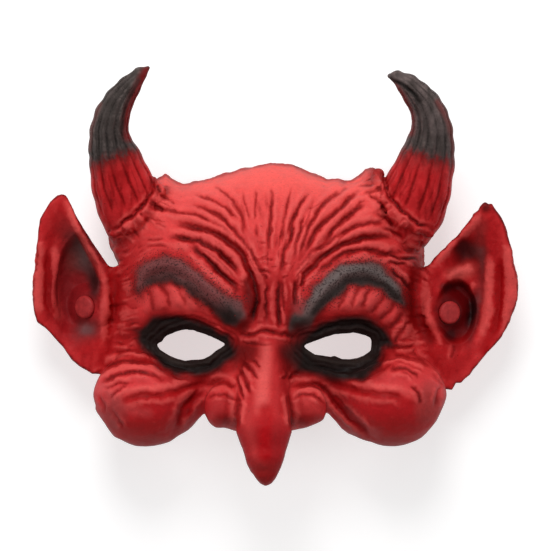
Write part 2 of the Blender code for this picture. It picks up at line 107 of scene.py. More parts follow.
FACE_EDGE = [(60, 100), (60, 222), (105, 235), (112, 248), (117, 258), (120.5, 265.5), (112, 270), (60, 285), (60, 340), (86, 372), (90, 375), (89.8, 383), (91, 393), (94, 400), (96, 405), (95.5, 409.4), (97, 411.5),
             (104.5, 422), (110, 430.7), (114.5, 437.2), (120, 439), (126, 442), (131, 444.6), (136.5, 447), (146, 447),
             (154.7, 445.7), (169.6, 442), (176, 438), (187.7, 430.7), (193, 425.4), (198.4, 419.5), (203.7, 414.7),
             (205.7, 416.3), (208, 422.7), (211, 425.4), (215.5, 428.4), (224, 427.8), (229, 429.3), (234.7, 431.8),
             (238, 436), (242.8, 448), (245, 456), (247, 463.6), (250.5, 471), (253.8, 474), (257, 479), (260.4, 483),
             (265.4, 485.6), (268.7, 484.5), (272, 483), (275.3, 478.5), (280.8, 468), (283.5, 460), (285.7, 452.6),
             (287.4, 445), (289.6, 438), (293, 432), (300, 429.5), (311, 425), (316.5, 423), (324.8, 420.2),
             (327, 413.6), (330, 414.7), (337.6, 424.4), (342, 430), (346.7, 434), (353.5, 437.6), (361, 440.6),
             (378, 445.3), (387.5, 446.7), (395.4, 447.2), (403.4, 446), (410, 444), (417, 440.8), (422.7, 436.8),
             (427, 431.7), (435.7, 421), (439, 414), (444.8, 400.6), (447, 396.6), (450.4, 393), (454.5, 390),
             (456, 382), (490, 340), (490, 290), (428, 267), (423.5, 261), (432, 252), (436, 241), (490, 225), (490, 100)]
BUTTONS = [((89, 307), -36.0, 22.0), ((446.5, 312.5), 24.0, 21.0)]


def at(dx, dy, z):
    k = UNIT * (EYE - z) / (EYE - TRUE_Z)
    return np.array([(dx - MID_X) * k + SHIFT_X, (MID_Y - dy) * k + SHIFT_Y, z], float)


def drawing(x, y, z):
    k = UNIT * (EYE - z) / (EYE - TRUE_Z)
    return (x - SHIFT_X) / k + MID_X, MID_Y - (y - SHIFT_Y) / k


def step(a, b, v):
    t = np.clip((v - a) / (b - a), 0.0, 1.0)
    return t * t * (3 - 2 * t)


def join(a, b, k):
    h = np.clip(0.5 + 0.5 * (b - a) / k, 0.0, 1.0)
    return b + (a - b) * h - k * h * (1 - h)


def cut(a, b, k):
    """Keeps a where b is below zero too, with a rounded edge."""
    return -join(-a, -b, k)


def line_distance(u, v, points):
    best = np.full(np.broadcast(u, v).shape, 1e9)
    for (ax, ay), (bx, by) in zip(points, points[1:]):
        ex, ey = bx - ax, by - ay
        t = np.clip(((u - ax) * ex + (v - ay) * ey) / (ex * ex + ey * ey), 0, 1)
        best = np.minimum(best, (u - ax - t * ex) ** 2 + (v - ay - t * ey) ** 2)
    return np.sqrt(best)


def outline_distance(u, v, points):
    """Signed distance to a closed outline, below zero inside."""
    closed = list(points) + [points[0]]
    d = line_distance(u, v, closed)
    inside = np.zeros(np.broadcast(u, v).shape, bool)
    for (ax, ay), (bx, by) in zip(closed, closed[1:]):
        if ay == by:
            continue
        hit = ((ay > v) != (by > v)) & (u < (bx - ax) * (v - ay) / (by - ay) + ax)
        inside ^= hit
    return np.where(inside, -d, d)


def smooth_line(points, gap=3.0):
    """Points every few units on a smooth curve through the given ones."""
    pts = np.array(points, float)
    out = []
    n = len(pts)
    for i in range(n - 1):
        p0, p1, p2, p3 = pts[max(i - 1, 0)], pts[i], pts[i + 1], pts[min(i + 2, n - 1)]
        m = max(1, int(round(np.linalg.norm((p2 - p1)[:2]) / gap)))
        for j in range(m):
            t = j / m
            out.append(tuple(0.5 * (2 * p1 + (p2 - p0) * t + (2 * p0 - 5 * p1 + 4 * p2 - p3) * t ** 2
                                    + (3 * p1 - p0 - 3 * p2 + p3) * t ** 3)))
    out.append(tuple(pts[-1]))
    return out


def lattice(i, j, k, seed):
    h = (i.astype(np.int64) * 374761393 + j.astype(np.int64) * 668265263 + k.astype(np.int64) * 2147483647
         + seed * 1274126177) & 0xFFFFFFFF
    h = ((h ^ (h >> 13)) * 1274126177) & 0xFFFFFFFF
    h = h ^ (h >> 16)
    return (h & 0xFFFF) / 32767.5 - 1.0


def noise(x, y, z, size, seed=0):
    """Smooth lattice noise from -1 to 1, with lumps of the given size."""
    x, y, z = x / size, y / size, z / size
    i, j, k = np.floor(x), np.floor(y), np.floor(z)
    fx, fy, fz = [f * f * (3 - 2 * f) for f in (x - i, y - j, z - k)]
    total = 0.0
    for a in (0, 1):
        for b in (0, 1):
            for c in (0, 1):
                w = (fx if a else 1 - fx) * (fy if b else 1 - fy) * (fz if c else 1 - fz)
                total = total + w * lattice(i + a, j + b, k + c, seed)
    return total


# -------------------------------------------------------------- form field
def dome(x, y, z):
    px, py = x - HEAD_CENTRE[0], y - HEAD_CENTRE[1]
    zz = np.maximum(z, 0.0)
    u = np.abs(px) / HEAD_HALF_WIDTH
    dx, _ = drawing(x, y, 0.0)
    line = np.interp(dx, [p[0] for p in BROWLINE], [p[1] for p in BROWLINE])
    base = at(0, 0, 0)[1]
    top = base + line * (at(0, 1, 0)[1] - base) - HEAD_CENTRE[1]
    top = top / np.maximum(1 - np.minimum(u, 1) ** 4, 0.2) ** 0.25
    b = np.where(py > 0, top, HEAD_BOTTOM)
    v = np.abs(py) / b
    rho = np.maximum((u ** 4 + v ** 4) ** 0.25, 1e-6)
    g = rho ** 2.3 + (zz / HEAD_DEPTH) ** 2
    gr = 2.3 * rho ** 1.3 / rho ** 3
    slope = np.sqrt((gr * u ** 3 / HEAD_HALF_WIDTH) ** 2 + (gr * v ** 3 / b) ** 2 + (2 * zz / HEAD_DEPTH ** 2) ** 2)
    return (g - 1) / np.maximum(slope, 0.014)


def ball(x, y, z, centre, radii):
    c = at(*centre)
    a = [(x - c[0]) / radii[0], (y - c[1]) / radii[1], (z - c[2]) / radii[2]]
    k0 = np.sqrt(a[0] ** 2 + a[1] ** 2 + a[2] ** 2)
    k1 = np.sqrt((a[0] / radii[0]) ** 2 + (a[1] / radii[1]) ** 2 + (a[2] / radii[2]) ** 2)
    return k0 * (k0 - 1) / np.maximum(k1, 1e-6)


def run(x, y, z, spec, soft=2.0):
    total = None
    for p, q in zip(spec, spec[1:]):
        a, b = at(*p[:3]), at(*q[:3])
        e = b - a
        t = np.clip(((x - a[0]) * e[0] + (y - a[1]) * e[1] + (z - a[2]) * e[2]) / e.dot(e), 0, 1)
        d = np.sqrt((x - a[0] - t * e[0]) ** 2 + (y - a[1] - t * e[1]) ** 2 + (z - a[2] - t * e[2]) ** 2)
        d = d - (p[3] + (q[3] - p[3]) * t)
        total = d if total is None else join(total, d, soft)
    return total


def relief(u, v):
    """Larger carving, millimetres over the smooth face."""
    dl, dr = line_distance(u, v, BROW_L), line_distance(u, v, BROW_R)
    h = 3.8 * np.exp(-(dl / 8.0) ** 2) + 3.8 * np.exp(-(dr / 8.0) ** 2)
    for cx, cy, rx, ry in ((190, 345, 50, 27), (344, 346, 50, 27)):
        h = h - 6.0 * np.exp(-((((u - cx) / rx) ** 2 + ((v - cy) / ry) ** 2) ** 1.5))
    for cx, cy in ((180, 298), (360, 300)):
        h = h + 2.4 * np.exp(-(((u - cx) / 30) ** 2 + ((v - cy) / 13) ** 2))
    for line in (SMILE_L, SMILE_R):
        h = h - 1.7 * np.exp(-(line_distance(u, v, line) / 7.5) ** 2)
    for line in (FOREHEAD_L, FOREHEAD_R):
        h = h - 1.6 * np.exp(-(line_distance(u, v, line) / 8.0) ** 2)
    return h


def ear_height(side, u, v):
    if side == 0:
        cup = np.exp(-(((u - 74) / 24) ** 2 + ((v - 284) / 52) ** 2) ** 1.4)
        z = 25.0 + 4.0 * step(290, 200, v) + 2.0 * step(60, 36, u) - 4.0 * step(95, 118, u)
    else:
        cup = np.exp(-(((u - 468) / 24) ** 2 + ((v - 288) / 52) ** 2) ** 1.4)
        z = 25.0 + 4.0 * step(290, 200, v) + 2.0 * step(490, 515, u) - 4.0 * step(445, 420, u)
    z = z - 10.0 * cup
    bowl = (76, 284, 22, 50, 8) if side == 0 else (457, 312, 20, 32, 0)
    a = math.radians(bowl[4])
    du, dv = u - bowl[0], v - bowl[1]
    r = np.sqrt(((du * math.cos(a) + dv * math.sin(a)) / bowl[2]) ** 2 + ((dv * math.cos(a) - du * math.sin(a)) / bowl[3]) ** 2)
    z = z - 3.4 * step(1.12, 0.80, r) + 1.2 * np.exp(-((r - 1.22) / 0.2) ** 2) * step(bowl[3] * 0.5, -bowl[3] * 0.3, dv)
    if side == 1:
        z = z - 3.0 * np.exp(-(((u - 466) / 9) ** 2 + ((v - 250) / 13) ** 2))
    (bx, by), lean, bz = BUTTONS[side]
    seat = bz - math.tan(math.radians(lean)) * (u - bx) * UNIT
    return z + (seat - z) * (1 - step(12, 25, np.hypot(u - bx, v - by)))


def button_axis(side):
    (dx, dy), lean, z = BUTTONS[side]
    a = math.radians(lean)
    return at(dx, dy, z), np.array([math.sin(a), 0.0, math.cos(a)])


def head_form(x, y, z):
    head = dome(x, y, z)
    for centre, radii in CHEEKS:
        head = join(head, ball(x, y, z, centre, radii), 9.0)
    return head


def hollow_form(x, y, z, head, carve):
    return join(head + WALL + np.maximum(0, -carve) * 0.9, run(x, y, z, NOSE_HOLLOW), 3.0)


def skin(x, y, z, coarse=False):
    """Signed distance, near enough, of the whole casting. coarse lays the drawn outlines out at one height."""
    u, v = drawing(x, y, 35.0 if coarse else z)
    carve = relief(u, v)
    head = head_form(x, y, z)
    face = join(head, run(x, y, z, NOSE), 5.0)
    face = join(face, run(x, y, z, NOSE_BODY), 5.0)
    for centre, radii in ALAE:
        face = join(face, ball(x, y, z, centre, radii), 7.0)
    for centre, radii in WINGS:
        face = join(face, ball(x, y, z, centre, radii), 3.5)
    fade = step(15, 35, z)
    face = face - carve * fade
    hollow = hollow_form(x, y, z, head, carve * fade)
    edge = (outline_distance(u, v, FACE_EDGE) - 0.6) * UNIT
    face = cut(face, edge, 1.6)
    hollow = cut(hollow, edge + WALL, 1.0)
    for spec, lip in zip(HORNS, COLLARS):
        fold = run(x, y, z, lip, 2.0)
        if not coarse:
            fold = fold + 0.2 - 0.8 * noise(x, y, z, 4.6, 41) - 0.35 * noise(x, y, z, 2.2, 42)
        face = join(join(face, fold, 4.5), run(x, y, z, spec, 1.0), 0.7)
    for side, outline in enumerate((EAR_L, EAR_R)):
        edge = outline_distance(u, v, outline) * UNIT
        mid = ear_height(side, u, v)
        lean = np.sqrt(1 + ((ear_height(side, u + 1, v) - mid) ** 2 + (ear_height(side, u, v + 1) - mid) ** 2) / 0.24)
        leaf = np.abs(z - mid) / lean - EAR_THICK / 2
        ear = cut(leaf, edge, 2.2)
        c, n = button_axis(side)
        along = (x - c[0]) * n[0] + (z - c[2]) * n[2]
        off = np.sqrt(np.maximum((x - c[0]) ** 2 + (y - c[1]) ** 2 + (z - c[2]) ** 2 - along ** 2, 0))
        ear = join(ear, cut(np.abs(along) - PAD_H / 2, off - PAD_R, 0.8), 0.6)
        ear = cut(ear, -cut(PAD_H / 2 - along, off - PAD_R + 0.4, 0.4), 0.4)
        ear = cut(ear, -cut(PAD_H / 2 + along, off - PAD_R + 0.6, 0.4), 0.4)
        face = join(face, ear, 4.5)
        face = cut(face, SHANK_R + GAP - off + np.maximum(np.abs(along) - 9, 0), 0.3)
    if not coarse:
        face = face + (0.55 * noise(x, y, z, 4.2, 11) + 0.3 * noise(x, y, z, 2.1, 12)) * step(26, 8, z)
    body = cut(face, -hollow, 0.8)
    t = np.clip((RIM_FLAT_END - y) / 50.0, 0, 1)
    rim = RIM_LIP_Z * (3 * t * t - 2 * t ** 3)
    rim_slope = np.sqrt(1 + (RIM_LIP_Z / 50.0 * 6 * t * (1 - t)) ** 2)
    body = cut(body, (rim - z) / rim_slope, 0.6)
    lip_u, lip_v = drawing(x, y, 48.0)
    arch = cut(outline_distance(lip_u, lip_v, LIP_LINE) * UNIT, z - ARCH_Z, 0.8)
    body = cut(body, -arch, 1.0)
    eye_u, eye_v = drawing(x, y, 54.0)
    for outline in (EYE_L, EYE_R):
        hole = cut(outline_distance(eye_u, eye_v, outline) * UNIT, 25.0 - z, 0.5)
        body = cut(body, -hole, 0.9)
    return body


def surface_net(values, origin, pitch):
    """Quads of the zero surface of a grid of values, facing out."""
    inside = values < 0
    size = np.array(values.shape)
    ids, spots, quads = [], [], []
    for axis in range(3):
        lo = [slice(None)] * 3
        hi = [slice(None)] * 3
        lo[axis], hi[axis] = slice(0, -1), slice(1, None)
        a, b = inside[tuple(lo)], inside[tuple(hi)]
        at_ = np.argwhere(a != b)
        next_ = at_.copy()
        next_[:, axis] += 1
        f0, f1 = values[tuple(at_.T)], values[tuple(next_.T)]
        spot = at_.astype(float)
        spot[:, axis] += f0 / (f0 - f1)
        p, q = [(1, 2), (2, 0), (0, 1)][axis]
        ring = []
        for op, oq in ((-1, -1), (0, -1), (0, 0), (-1, 0)):
            cell = at_.copy()
            cell[:, p] += op
            cell[:, q] += oq
            ring.append(np.ravel_multi_index(tuple(cell.T), tuple(size)))
            ids.append(ring[-1])
            spots.append(spot)
        quad = np.stack(ring, 1)
        out = a[tuple(at_.T)]
        quad[~out] = quad[~out][:, ::-1]
        quads.append(quad)
    ids, spots, quads = np.concatenate(ids), np.concatenate(spots), np.concatenate(quads)
    keys, inverse = np.unique(ids, return_inverse=True)
    count = np.bincount(inverse)
    verts = np.stack([np.bincount(inverse, spots[:, k]) / count for k in range(3)], 1)
    return verts * pitch + origin, np.searchsorted(keys, quads)


def edge_pairs(quads):
    e = np.concatenate([quads[:, [0, 1]], quads[:, [1, 2]], quads[:, [2, 3]], quads[:, [3, 0]]])
    return np.sort(e, 1)


def halve(verts, quads):
    n = len(verts)
    e = edge_pairs(quads)
    keys, inverse = np.unique(e[:, 0].astype(np.int64) * n + e[:, 1], return_inverse=True)
    a, b = keys // n, keys % n
    mids = (verts[a] + verts[b]) / 2
    centres = verts[quads].mean(1)
    f = len(quads)
    m = n + inverse.reshape(4, f)
    c = n + len(keys) + np.arange(f)
    q = quads
    new = np.concatenate([np.stack(r, 1) for r in (
        (q[:, 0], m[0], c, m[3]), (m[0], q[:, 1], m[1], c), (c, m[1], q[:, 2], m[2]), (m[3], c, m[2], q[:, 3]))])
    return np.concatenate([verts, mids, centres]), new


def relax(verts, quads, amount):
    e = np.unique(edge_pairs(quads), axis=0)
    i, j = np.concatenate([e[:, 0], e[:, 1]]), np.concatenate([e[:, 1], e[:, 0]])
    n = len(verts)
    count = np.maximum(np.bincount(i, minlength=n), 1)
    mean = np.stack([np.bincount(i, verts[j, k], n) / count for k in range(3)], 1)
    return verts + amount * (mean - verts)


def normals(verts, quads):
    d = np.cross(verts[quads[:, 2]] - verts[quads[:, 0]], verts[quads[:, 3]] - verts[quads[:, 1]])
    total = np.stack([sum(np.bincount(quads[:, c], d[:, k], len(verts)) for c in range(4)) for k in range(3)], 1)
    return total / np.maximum(np.linalg.norm(total, axis=1, keepdims=True), 1e-12)


def settle(verts, most=0.8):
    """One step of every vertex on to the zero surface."""
    h = 0.06
    f = skin(*verts.T)
    g = np.stack([(skin(verts[:, 0] + (k == 0) * h, verts[:, 1] + (k == 1) * h, verts[:, 2] + (k == 2) * h) - f) / h
                  for k in range(3)], 1)
    move = -f[:, None] * g / np.maximum((g * g).sum(1, keepdims=True), 0.2)
    size = np.linalg.norm(move, axis=1, keepdims=True)
    return verts + move * np.minimum(1, most / np.maximum(size, 1e-9))


# ------------------------------------------------------------ fine carving
# Each groove: half width, depth, darkness of its painted shade, then its points in drawing units.
FOREHEAD = [
    (2.0, 0.9, 0.5, [(210, 186), (224, 192), (232, 199), (238, 209), (241, 216), (243, 226), (245, 235), (248, 243)]),
    (1.4, 0.5, 0.4, [(231, 203), (236, 210), (240, 218)]),
    (1.8, 0.9, 0.5, [(192, 194), (207, 198), (219, 204), (231, 213), (240, 222)]),
    (2.2, 1.3, 0.7, [(190, 204), (206, 209.5), (217, 214), (228, 224), (238, 235), (246, 245), (254, 258), (262, 271)]),
    (2.0, 1.1, 0.6, [(152, 208), (172, 211.5), (185, 213.5), (200, 216.5), (213, 223), (225, 229), (235, 240)]),
    (3.2, 2.0, 0.8, [(172, 225), (186, 226), (200, 229.5), (214, 232.5), (224, 239), (234, 248), (242, 254), (247, 268),
                     (253, 281)]),
    (1.3, 0.6, 0.5, [(212, 239), (225, 248)]),
    (3.2, 2.1, 0.9, [(165, 236), (183, 238), (197, 240), (209, 246), (219, 253), (228, 261), (236, 271), (241, 283)]),
    (1.4, 0.7, 0.6, [(196, 246), (213, 255), (226, 268), (238, 283)]),
    (3.0, 2.2, 1.0, [(186, 244), (198, 251), (208, 259), (216, 268), (226, 277), (235, 286), (240, 296)]),
    (1.2, 0.5, 0.5, [(150, 218), (158, 221), (166, 224)]),
    (1.2, 0.5, 0.5, [(152, 222), (160, 225), (167, 228)]),
    (1.2, 0.5, 0.5, [(145, 240), (155, 240), (165, 239)]),
    (1.2, 0.5, 0.5, [(145, 247), (158, 246), (170, 247)]),
    (1.6, 0.8, 0.8, [(157, 184), (158, 189), (160, 194)]),
    (1.6, 0.8, 0.6, [(160, 196), (165, 199), (170, 202)]),
    (1.4, 0.6, 0.5, [(170, 200), (176, 204)]),
    (2.4, 1.0, 0.9, [(154, 205), (160, 208), (165, 211)]),
    (1.3, 0.6, 0.45, [(243, 192), (246, 207), (250, 222)]),
    (1.3, 0.6, 0.45, [(255, 188), (256, 200), (254, 222)]),
    (1.3, 0.6, 0.45, [(256, 222), (258, 238)]),
    (1.7, 1.0, 0.7, [(272, 184), (271.5, 195), (271, 212), (269, 232), (268.5, 256)]),
    (1.2, 0.5, 0.5, [(273, 205), (272, 220), (271, 238)]),
    (1.1, 0.45, 0.5, [(258, 243), (267, 242)]),
    (1.1, 0.45, 0.5, [(260, 258), (268, 256)]),
    (1.1, 0.5, 0.5, [(255, 260), (266, 259), (277, 260)]),
    (1.3, 0.6, 0.6, [(262, 270), (272, 273.5)]),
    (1.1, 0.45, 0.5, [(284, 263), (292, 264)]),
    (1.1, 0.45, 0.5, [(282, 278.6), (289, 275.7)]),
    (1.1, 0.45, 0.5, [(271, 267.6), (277, 267)]),
    (1.3, 0.6, 0.6, [(261, 274.6), (266.5, 277), (267.6, 281.5)]),
    (1.5, 0.8, 0.55, [(292, 185), (288, 200), (284.5, 215), (282, 233), (280, 242)]),
    (2.2, 1.4, 0.75, [(312, 190), (303, 200), (297, 211), (292, 221), (291, 237), (285, 250), (282, 266), (280, 280)]),
    (1.6, 0.9, 0.6, [(304, 212), (301, 228), (297, 245), (294, 262)]),
    (2.0, 1.2, 0.65, [(342, 187), (330, 199), (322, 206), (314, 218), (307, 233), (302, 247), (299, 262)]),
    (1.2, 0.5, 0.45, [(321, 203), (315, 206), (309, 210)]),
    (1.4, 0.7, 0.5, [(349, 187), (336, 196), (331, 198)]),
    (2.6, 1.6, 0.75, [(360, 190), (347, 200), (341, 208), (327, 220), (316, 232), (308, 246), (303, 258)]),
    (2.6, 1.6, 0.8, [(368, 202), (354, 211), (344, 219), (333, 230), (325, 240), (322, 244)]),
    (1.2, 0.6, 0.5, [(365, 200), (360, 203), (355, 207)]),
    (2.2, 1.4, 0.7, [(385, 223), (366, 224), (352, 228), (340, 235), (324, 245), (313, 252), (309, 256)]),
    (2.8, 2.0, 0.85, [(395, 238), (375, 237), (357, 240), (343, 245), (331, 252), (318, 262), (308, 271), (302, 282),
                      (300, 290)]),
    (2.6, 1.8, 0.8, [(405, 250), (385, 254), (368, 249.5), (352, 251), (340, 256), (328, 264), (316, 273), (311, 277)]),
    (1.8, 1.1, 0.95, [(383, 255), (400, 258), (420, 260)]),
    (1.5, 0.8, 0.9, [(385, 262), (397, 263), (408, 264)]),
    (1.8, 1.0, 0.9, [(388, 268), (397, 275), (404, 282), (412, 288)]),
    (1.5, 0.9, 0.9, [(400, 275), (406, 283), (412, 293)]),
    (2.0, 1.0, 0.8, [(368, 192), (377, 200), (386, 212)]),
    (1.6, 0.8, 0.7, [(375, 212), (385, 218), (395, 226)]),
    (1.5, 0.8, 0.7, [(380, 228), (392, 231), (404, 238)]),
]
GLABELLA = [
    (1.6, 0.9, 0.7, [(249.7, 254), (254.8, 261.7), (259, 270), (271, 273.5)]),
    (2.6, 2.2, 1.0, [(243.8, 263), (250.8, 275), (255.5, 286), (256.3, 301), (254, 314), (252, 326)]),
    (1.6, 1.0, 0.75, [(267.3, 281), (266, 301), (266.9, 312), (265.8, 323)]),
    (2.0, 1.5, 0.9, [(279, 278), (278.3, 305), (279, 329)]),
    (1.6, 1.0, 0.6, [(282, 279), (283, 301), (285.6, 314)]),
    (1.7, 1.1, 0.8, [(293.7, 277), (295.5, 291), (295, 308.7)]),
    (1.2, 0.6, 0.6, [(298.8, 273.5), (296.6, 286.7)]),
    (1.6, 1.0, 0.8, [(304.7, 275), (302.5, 281.5), (300, 288)]),
    (1.8, 1.0, 0.7, [(235, 331), (245, 336), (255, 334), (262, 331), (280, 333), (290, 336), (300, 338)]),
    (1.3, 0.6, 0.5, [(240, 342), (257, 344), (276, 345)]),
]
EYES = [
    (2.2, 1.3, 0.5, [(147, 289), (152, 300), (155, 314)]),
    (2.4, 1.6, 0.5, [(157, 281), (166, 294), (171, 309)]),
    (2.0, 1.2, 0.45, [(171, 280), (181, 292), (186, 308)]),
    (2.2, 1.4, 0.45, [(184, 284), (195, 298), (201, 312)]),
    (2.0, 1.1, 0.45, [(200, 295), (208, 305), (213, 316)]),
    (2.2, 1.3, 0.45, [(349, 287), (343, 298), (338, 311)]),
    (2.0, 1.1, 0.45, [(362, 284), (355, 297), (351, 310)]),
    (2.2, 1.4, 0.5, [(373, 286), (365, 298), (360, 311)]),
    (2.4, 1.5, 0.5, [(388, 292), (378, 304), (370, 316)]),
    (2.2, 1.4, 0.55, [(396, 302), (388, 313), (378, 323)]),
    (2.2, 1.3, 0.6, [(403, 312), (396, 322), (386, 331)]),
    (1.8, 1.0, 0.65, [(406, 322), (402, 332), (393, 343)]),
    (2.2, 1.3, 0.5, [(150, 331), (157, 324), (168, 320), (181, 319), (194, 322), (206, 328), (218, 335), (228, 342)]),
    (2.2, 1.3, 0.5, [(301, 343), (309, 336), (320, 331), (333, 326), (347, 324), (360, 324), (371, 328), (380, 335)]),
    (2.0, 1.2, 0.6, [(152, 349), (160, 359), (172, 366), (186, 369), (200, 368), (214, 363), (226, 354)]),
    (2.0, 1.2, 0.6, [(303, 358), (318, 366), (335, 370), (351, 370), (365, 366), (375, 359), (380, 350)]),
    (1.4, 0.8, 0.5, [(385, 352), (382, 362), (376, 369), (366, 375)]),
]
CHEEK_LINES = [
    (1.6, 0.7, 0.5, [(110, 352), (132, 350), (143, 352)]),
    (2.2, 1.3, 0.7, [(103, 368), (109, 365), (117, 362.5), (126, 361.4), (142, 362), (150, 366)]),
    (2.2, 1.3, 0.7, [(101, 386), (103, 382), (110, 378), (117, 374.7), (131, 371.5), (148, 372.6), (161, 379),
                     (167, 380)]),
    (1.5, 0.8, 0.5, [(103.5, 390), (114, 385), (131, 382.5)]),
    (1.4, 0.7, 0.5, [(111, 400), (113, 394.5), (123, 387), (129, 385)]),
    (1.6, 0.8, 0.6, [(393, 343), (400, 347), (415, 346)]),
    (1.8, 0.9, 0.6, [(392, 355), (403, 356), (415, 358), (424, 362), (431, 368)]),
    (2.2, 1.3, 0.7, [(386, 369.4), (396.6, 368.2), (408, 369.4), (416, 374), (420, 379)]),
    (1.4, 0.7, 0.5, [(399, 372), (408, 374.5), (415, 380)]),
    (1.6, 0.8, 0.6, [(408, 386.4), (413.6, 388.7), (417, 392.6), (419.3, 398), (420.4, 406)]),
    (2.6, 1.0, 0.25, [(202.7, 387), (197, 392), (192, 398), (186.7, 403), (182, 409), (179, 417), (176, 424), (173, 430)]),
    (2.4, 1.0, 0.25, [(332, 392.6), (337.6, 399.4), (343, 407.4), (350, 414), (357, 421), (363.7, 429), (373, 435.7)]),
    (1.5, 0.8, 0.5, [(327, 394), (332, 400.6), (337.6, 408.5), (344.4, 415), (351, 421), (358, 426.6)]),
    (3.0, 1.2, 0.25, [(214, 378), (203, 382), (190, 386), (176, 391), (160, 394), (144, 395), (128, 398), (116, 404)]),
    (1.8, 0.8, 0.35, [(119, 359), (136, 358), (153, 363), (167, 371), (181, 378), (198, 380)]),
    (1.6, 0.7, 0.3, [(95, 376), (104, 370)]),
    (2.2, 0.8, 0.2, [(206, 392), (197, 399), (190, 408), (184, 418)]),
    (1.6, 0.7, 0.4, [(100, 396), (104, 404), (106, 414)]),
    (1.5, 0.6, 0.35, [(110, 408), (118, 418), (122, 430)]),
    (3.0, 1.2, 0.25, [(322, 380), (334, 383), (348, 387), (362, 391), (378, 393), (394, 395), (408, 400)]),
    (1.8, 0.8, 0.35, [(345, 379), (360, 378), (374, 374), (388, 366), (402, 362)]),
    (2.2, 0.8, 0.2, [(330, 398), (340, 408), (350, 419), (360, 428)]),
    (1.6, 0.7, 0.4, [(440, 384), (438, 396), (434, 408)]),
    (1.4, 0.6, 0.35, [(430, 372), (437, 378), (443, 386)]),
    (1.4, 0.6, 0.4, [(392, 362), (404, 363), (416, 367), (426, 374)]),
    (1.4, 0.6, 0.4, [(120, 356), (134, 356), (147, 359)]),
]
NOSE_LINES = [
    (1.7, 1.0, 0.6, [(239.5, 364), (245, 366), (251.6, 371), (256, 377), (260, 380)]),
    (1.4, 0.8, 0.5, [(251.6, 359), (256, 362), (260.4, 367)]),
    (1.7, 1.0, 0.6, [(238.4, 369), (244, 377), (247, 383), (250.5, 395)]),
    (1.5, 0.9, 0.6, [(235, 373), (238, 384), (242, 393), (244, 401)]),
    (1.6, 0.9, 0.6, [(300, 372), (293, 374.5), (287, 380)]),
    (1.3, 0.7, 0.5, [(288, 371), (283.5, 380)]),
    (2.2, 1.2, 0.5, [(206, 387), (209, 385), (214, 382.7), (222, 381.5), (228, 383), (233.6, 386), (237, 389)]),
    (1.6, 0.8, 0.5, [(207, 401), (209, 397.7), (214, 395.3), (222, 394.7), (229, 396), (234.7, 398.7), (238, 403)]),
    (2.2, 1.2, 0.5, [(289, 391), (292, 387), (298, 385), (305.5, 384), (313, 384), (321, 385.5), (326, 391), (332, 399),
                     (337, 407.5), (343, 416)]),
    (1.6, 0.8, 0.5, [(290, 400), (295.6, 396.5), (303, 394.5), (312, 394.5), (318.7, 396.5), (323, 401), (326, 405)]),
    (2.2, 1.2, 0.45, [(238, 392), (238, 405), (237, 418), (236, 428)]),
    (2.2, 1.2, 0.45, [(289, 392), (290, 405), (291, 418), (292, 429)]),
]
HORN_LINES = [
    (1.3, 0.6, 0.7, [(392, 80), (401, 84), (410, 90), (416, 95), (420, 100)]),
    (1.2, 0.5, 0.5, [(124, 128), (124, 112), (130, 96), (139, 81)]),
]
CREASES = [
    (4.5, 0.8, 0.25, [(115, 270), (116, 290), (115, 305), (113, 320), (110, 335)]),
    (4.5, 1.2, 0.3, [(416, 268), (415, 285), (414, 300), (415, 315), (420, 325), (428, 335), (436, 343)]),
    (1.5, 1.1, 0.9, [(151, 182), (153, 190), (148, 197), (145, 204), (138, 210), (133, 216), (125, 220), (118, 227), (106, 231)]),
    (1.5, 1.1, 0.9, [(380, 170), (384, 177), (386, 188), (389, 197), (396, 204), (400, 211), (407, 214), (413, 220), (419, 225), (427, 225), (434, 230)]),
    (3.5, 1.5, 0.0, [(49, 250), (48, 285), (48, 300), (51, 312)]),
    (4.0, 1.8, 0.0, [(500, 255), (499, 280), (498, 310), (495, 326), (490, 338)]),
    (1.5, 0.8, 0.45, [(72, 204), (80, 224), (92, 246), (102, 262), (108, 276)]),
    (1.5, 0.7, 0.5, [(455, 345), (453, 352), (453, 360)]),
]
RIDGES = [
    (4.0, -0.8, 0.0, [(105, 275), (107, 295), (106, 315), (104, 335), (103, 346)]),
    (4.0, -0.9, 0.0, [(427, 284), (425, 300), (427, 318), (434, 334), (444, 346)]),
    (4.0, -1.2, 0.0, [(55, 240), (55, 270), (56, 300), (62, 325)]),
    (4.0, -1.2, 0.0, [(38.5, 235), (38, 262), (36.5, 292), (38, 318)]),
    (4.0, -1.2, 0.0, [(489, 260), (488, 290), (487, 315), (480, 338)]),
    (4.5, -1.5, 0.0, [(505, 240), (509, 262), (512, 285), (509, 305), (503, 322)]),
    (3.5, -1.2, 0.0, [(68, 200), (75, 222), (87, 245), (97, 262)]),
    (3.5, -1.2, 0.0, [(482, 212), (470, 228), (456, 243), (442, 257), (432, 268)]),
    (4.0, -1.2, 0.0, [(445, 279), (458, 272), (474, 266)]),
    (3.5, -1.0, 0.0, [(474, 282), (474, 296)]),
    (2.2, -0.8, 0.0, [(160, 353), (168, 359), (180, 363), (192, 366), (205, 363), (216, 356), (224, 348)]),
    (2.2, -0.8, 0.0, [(307, 352), (320, 359), (336, 362), (350, 363), (364, 360), (373, 354)]),
    (2.6, -0.8, 0.0, [(158, 338), (170, 329), (186, 325), (202, 327), (216, 334), (226, 342)]),
    (2.6, -0.8, 0.0, [(305, 340), (320, 334), (340, 329), (358, 328), (370, 332), (378, 340)]),
]


COLLAR_LINE_L = [(152, 180), (154, 190), (150, 197), (147, 204), (140, 211), (134, 217), (126, 222), (118, 229),
                 (105, 234)]
COLLAR_LINE_R = [(376, 166), (381, 176), (384, 189), (387, 199), (394, 206), (398, 213), (405, 217), (412, 224),
                 (418, 229), (428, 229), (436, 240)]


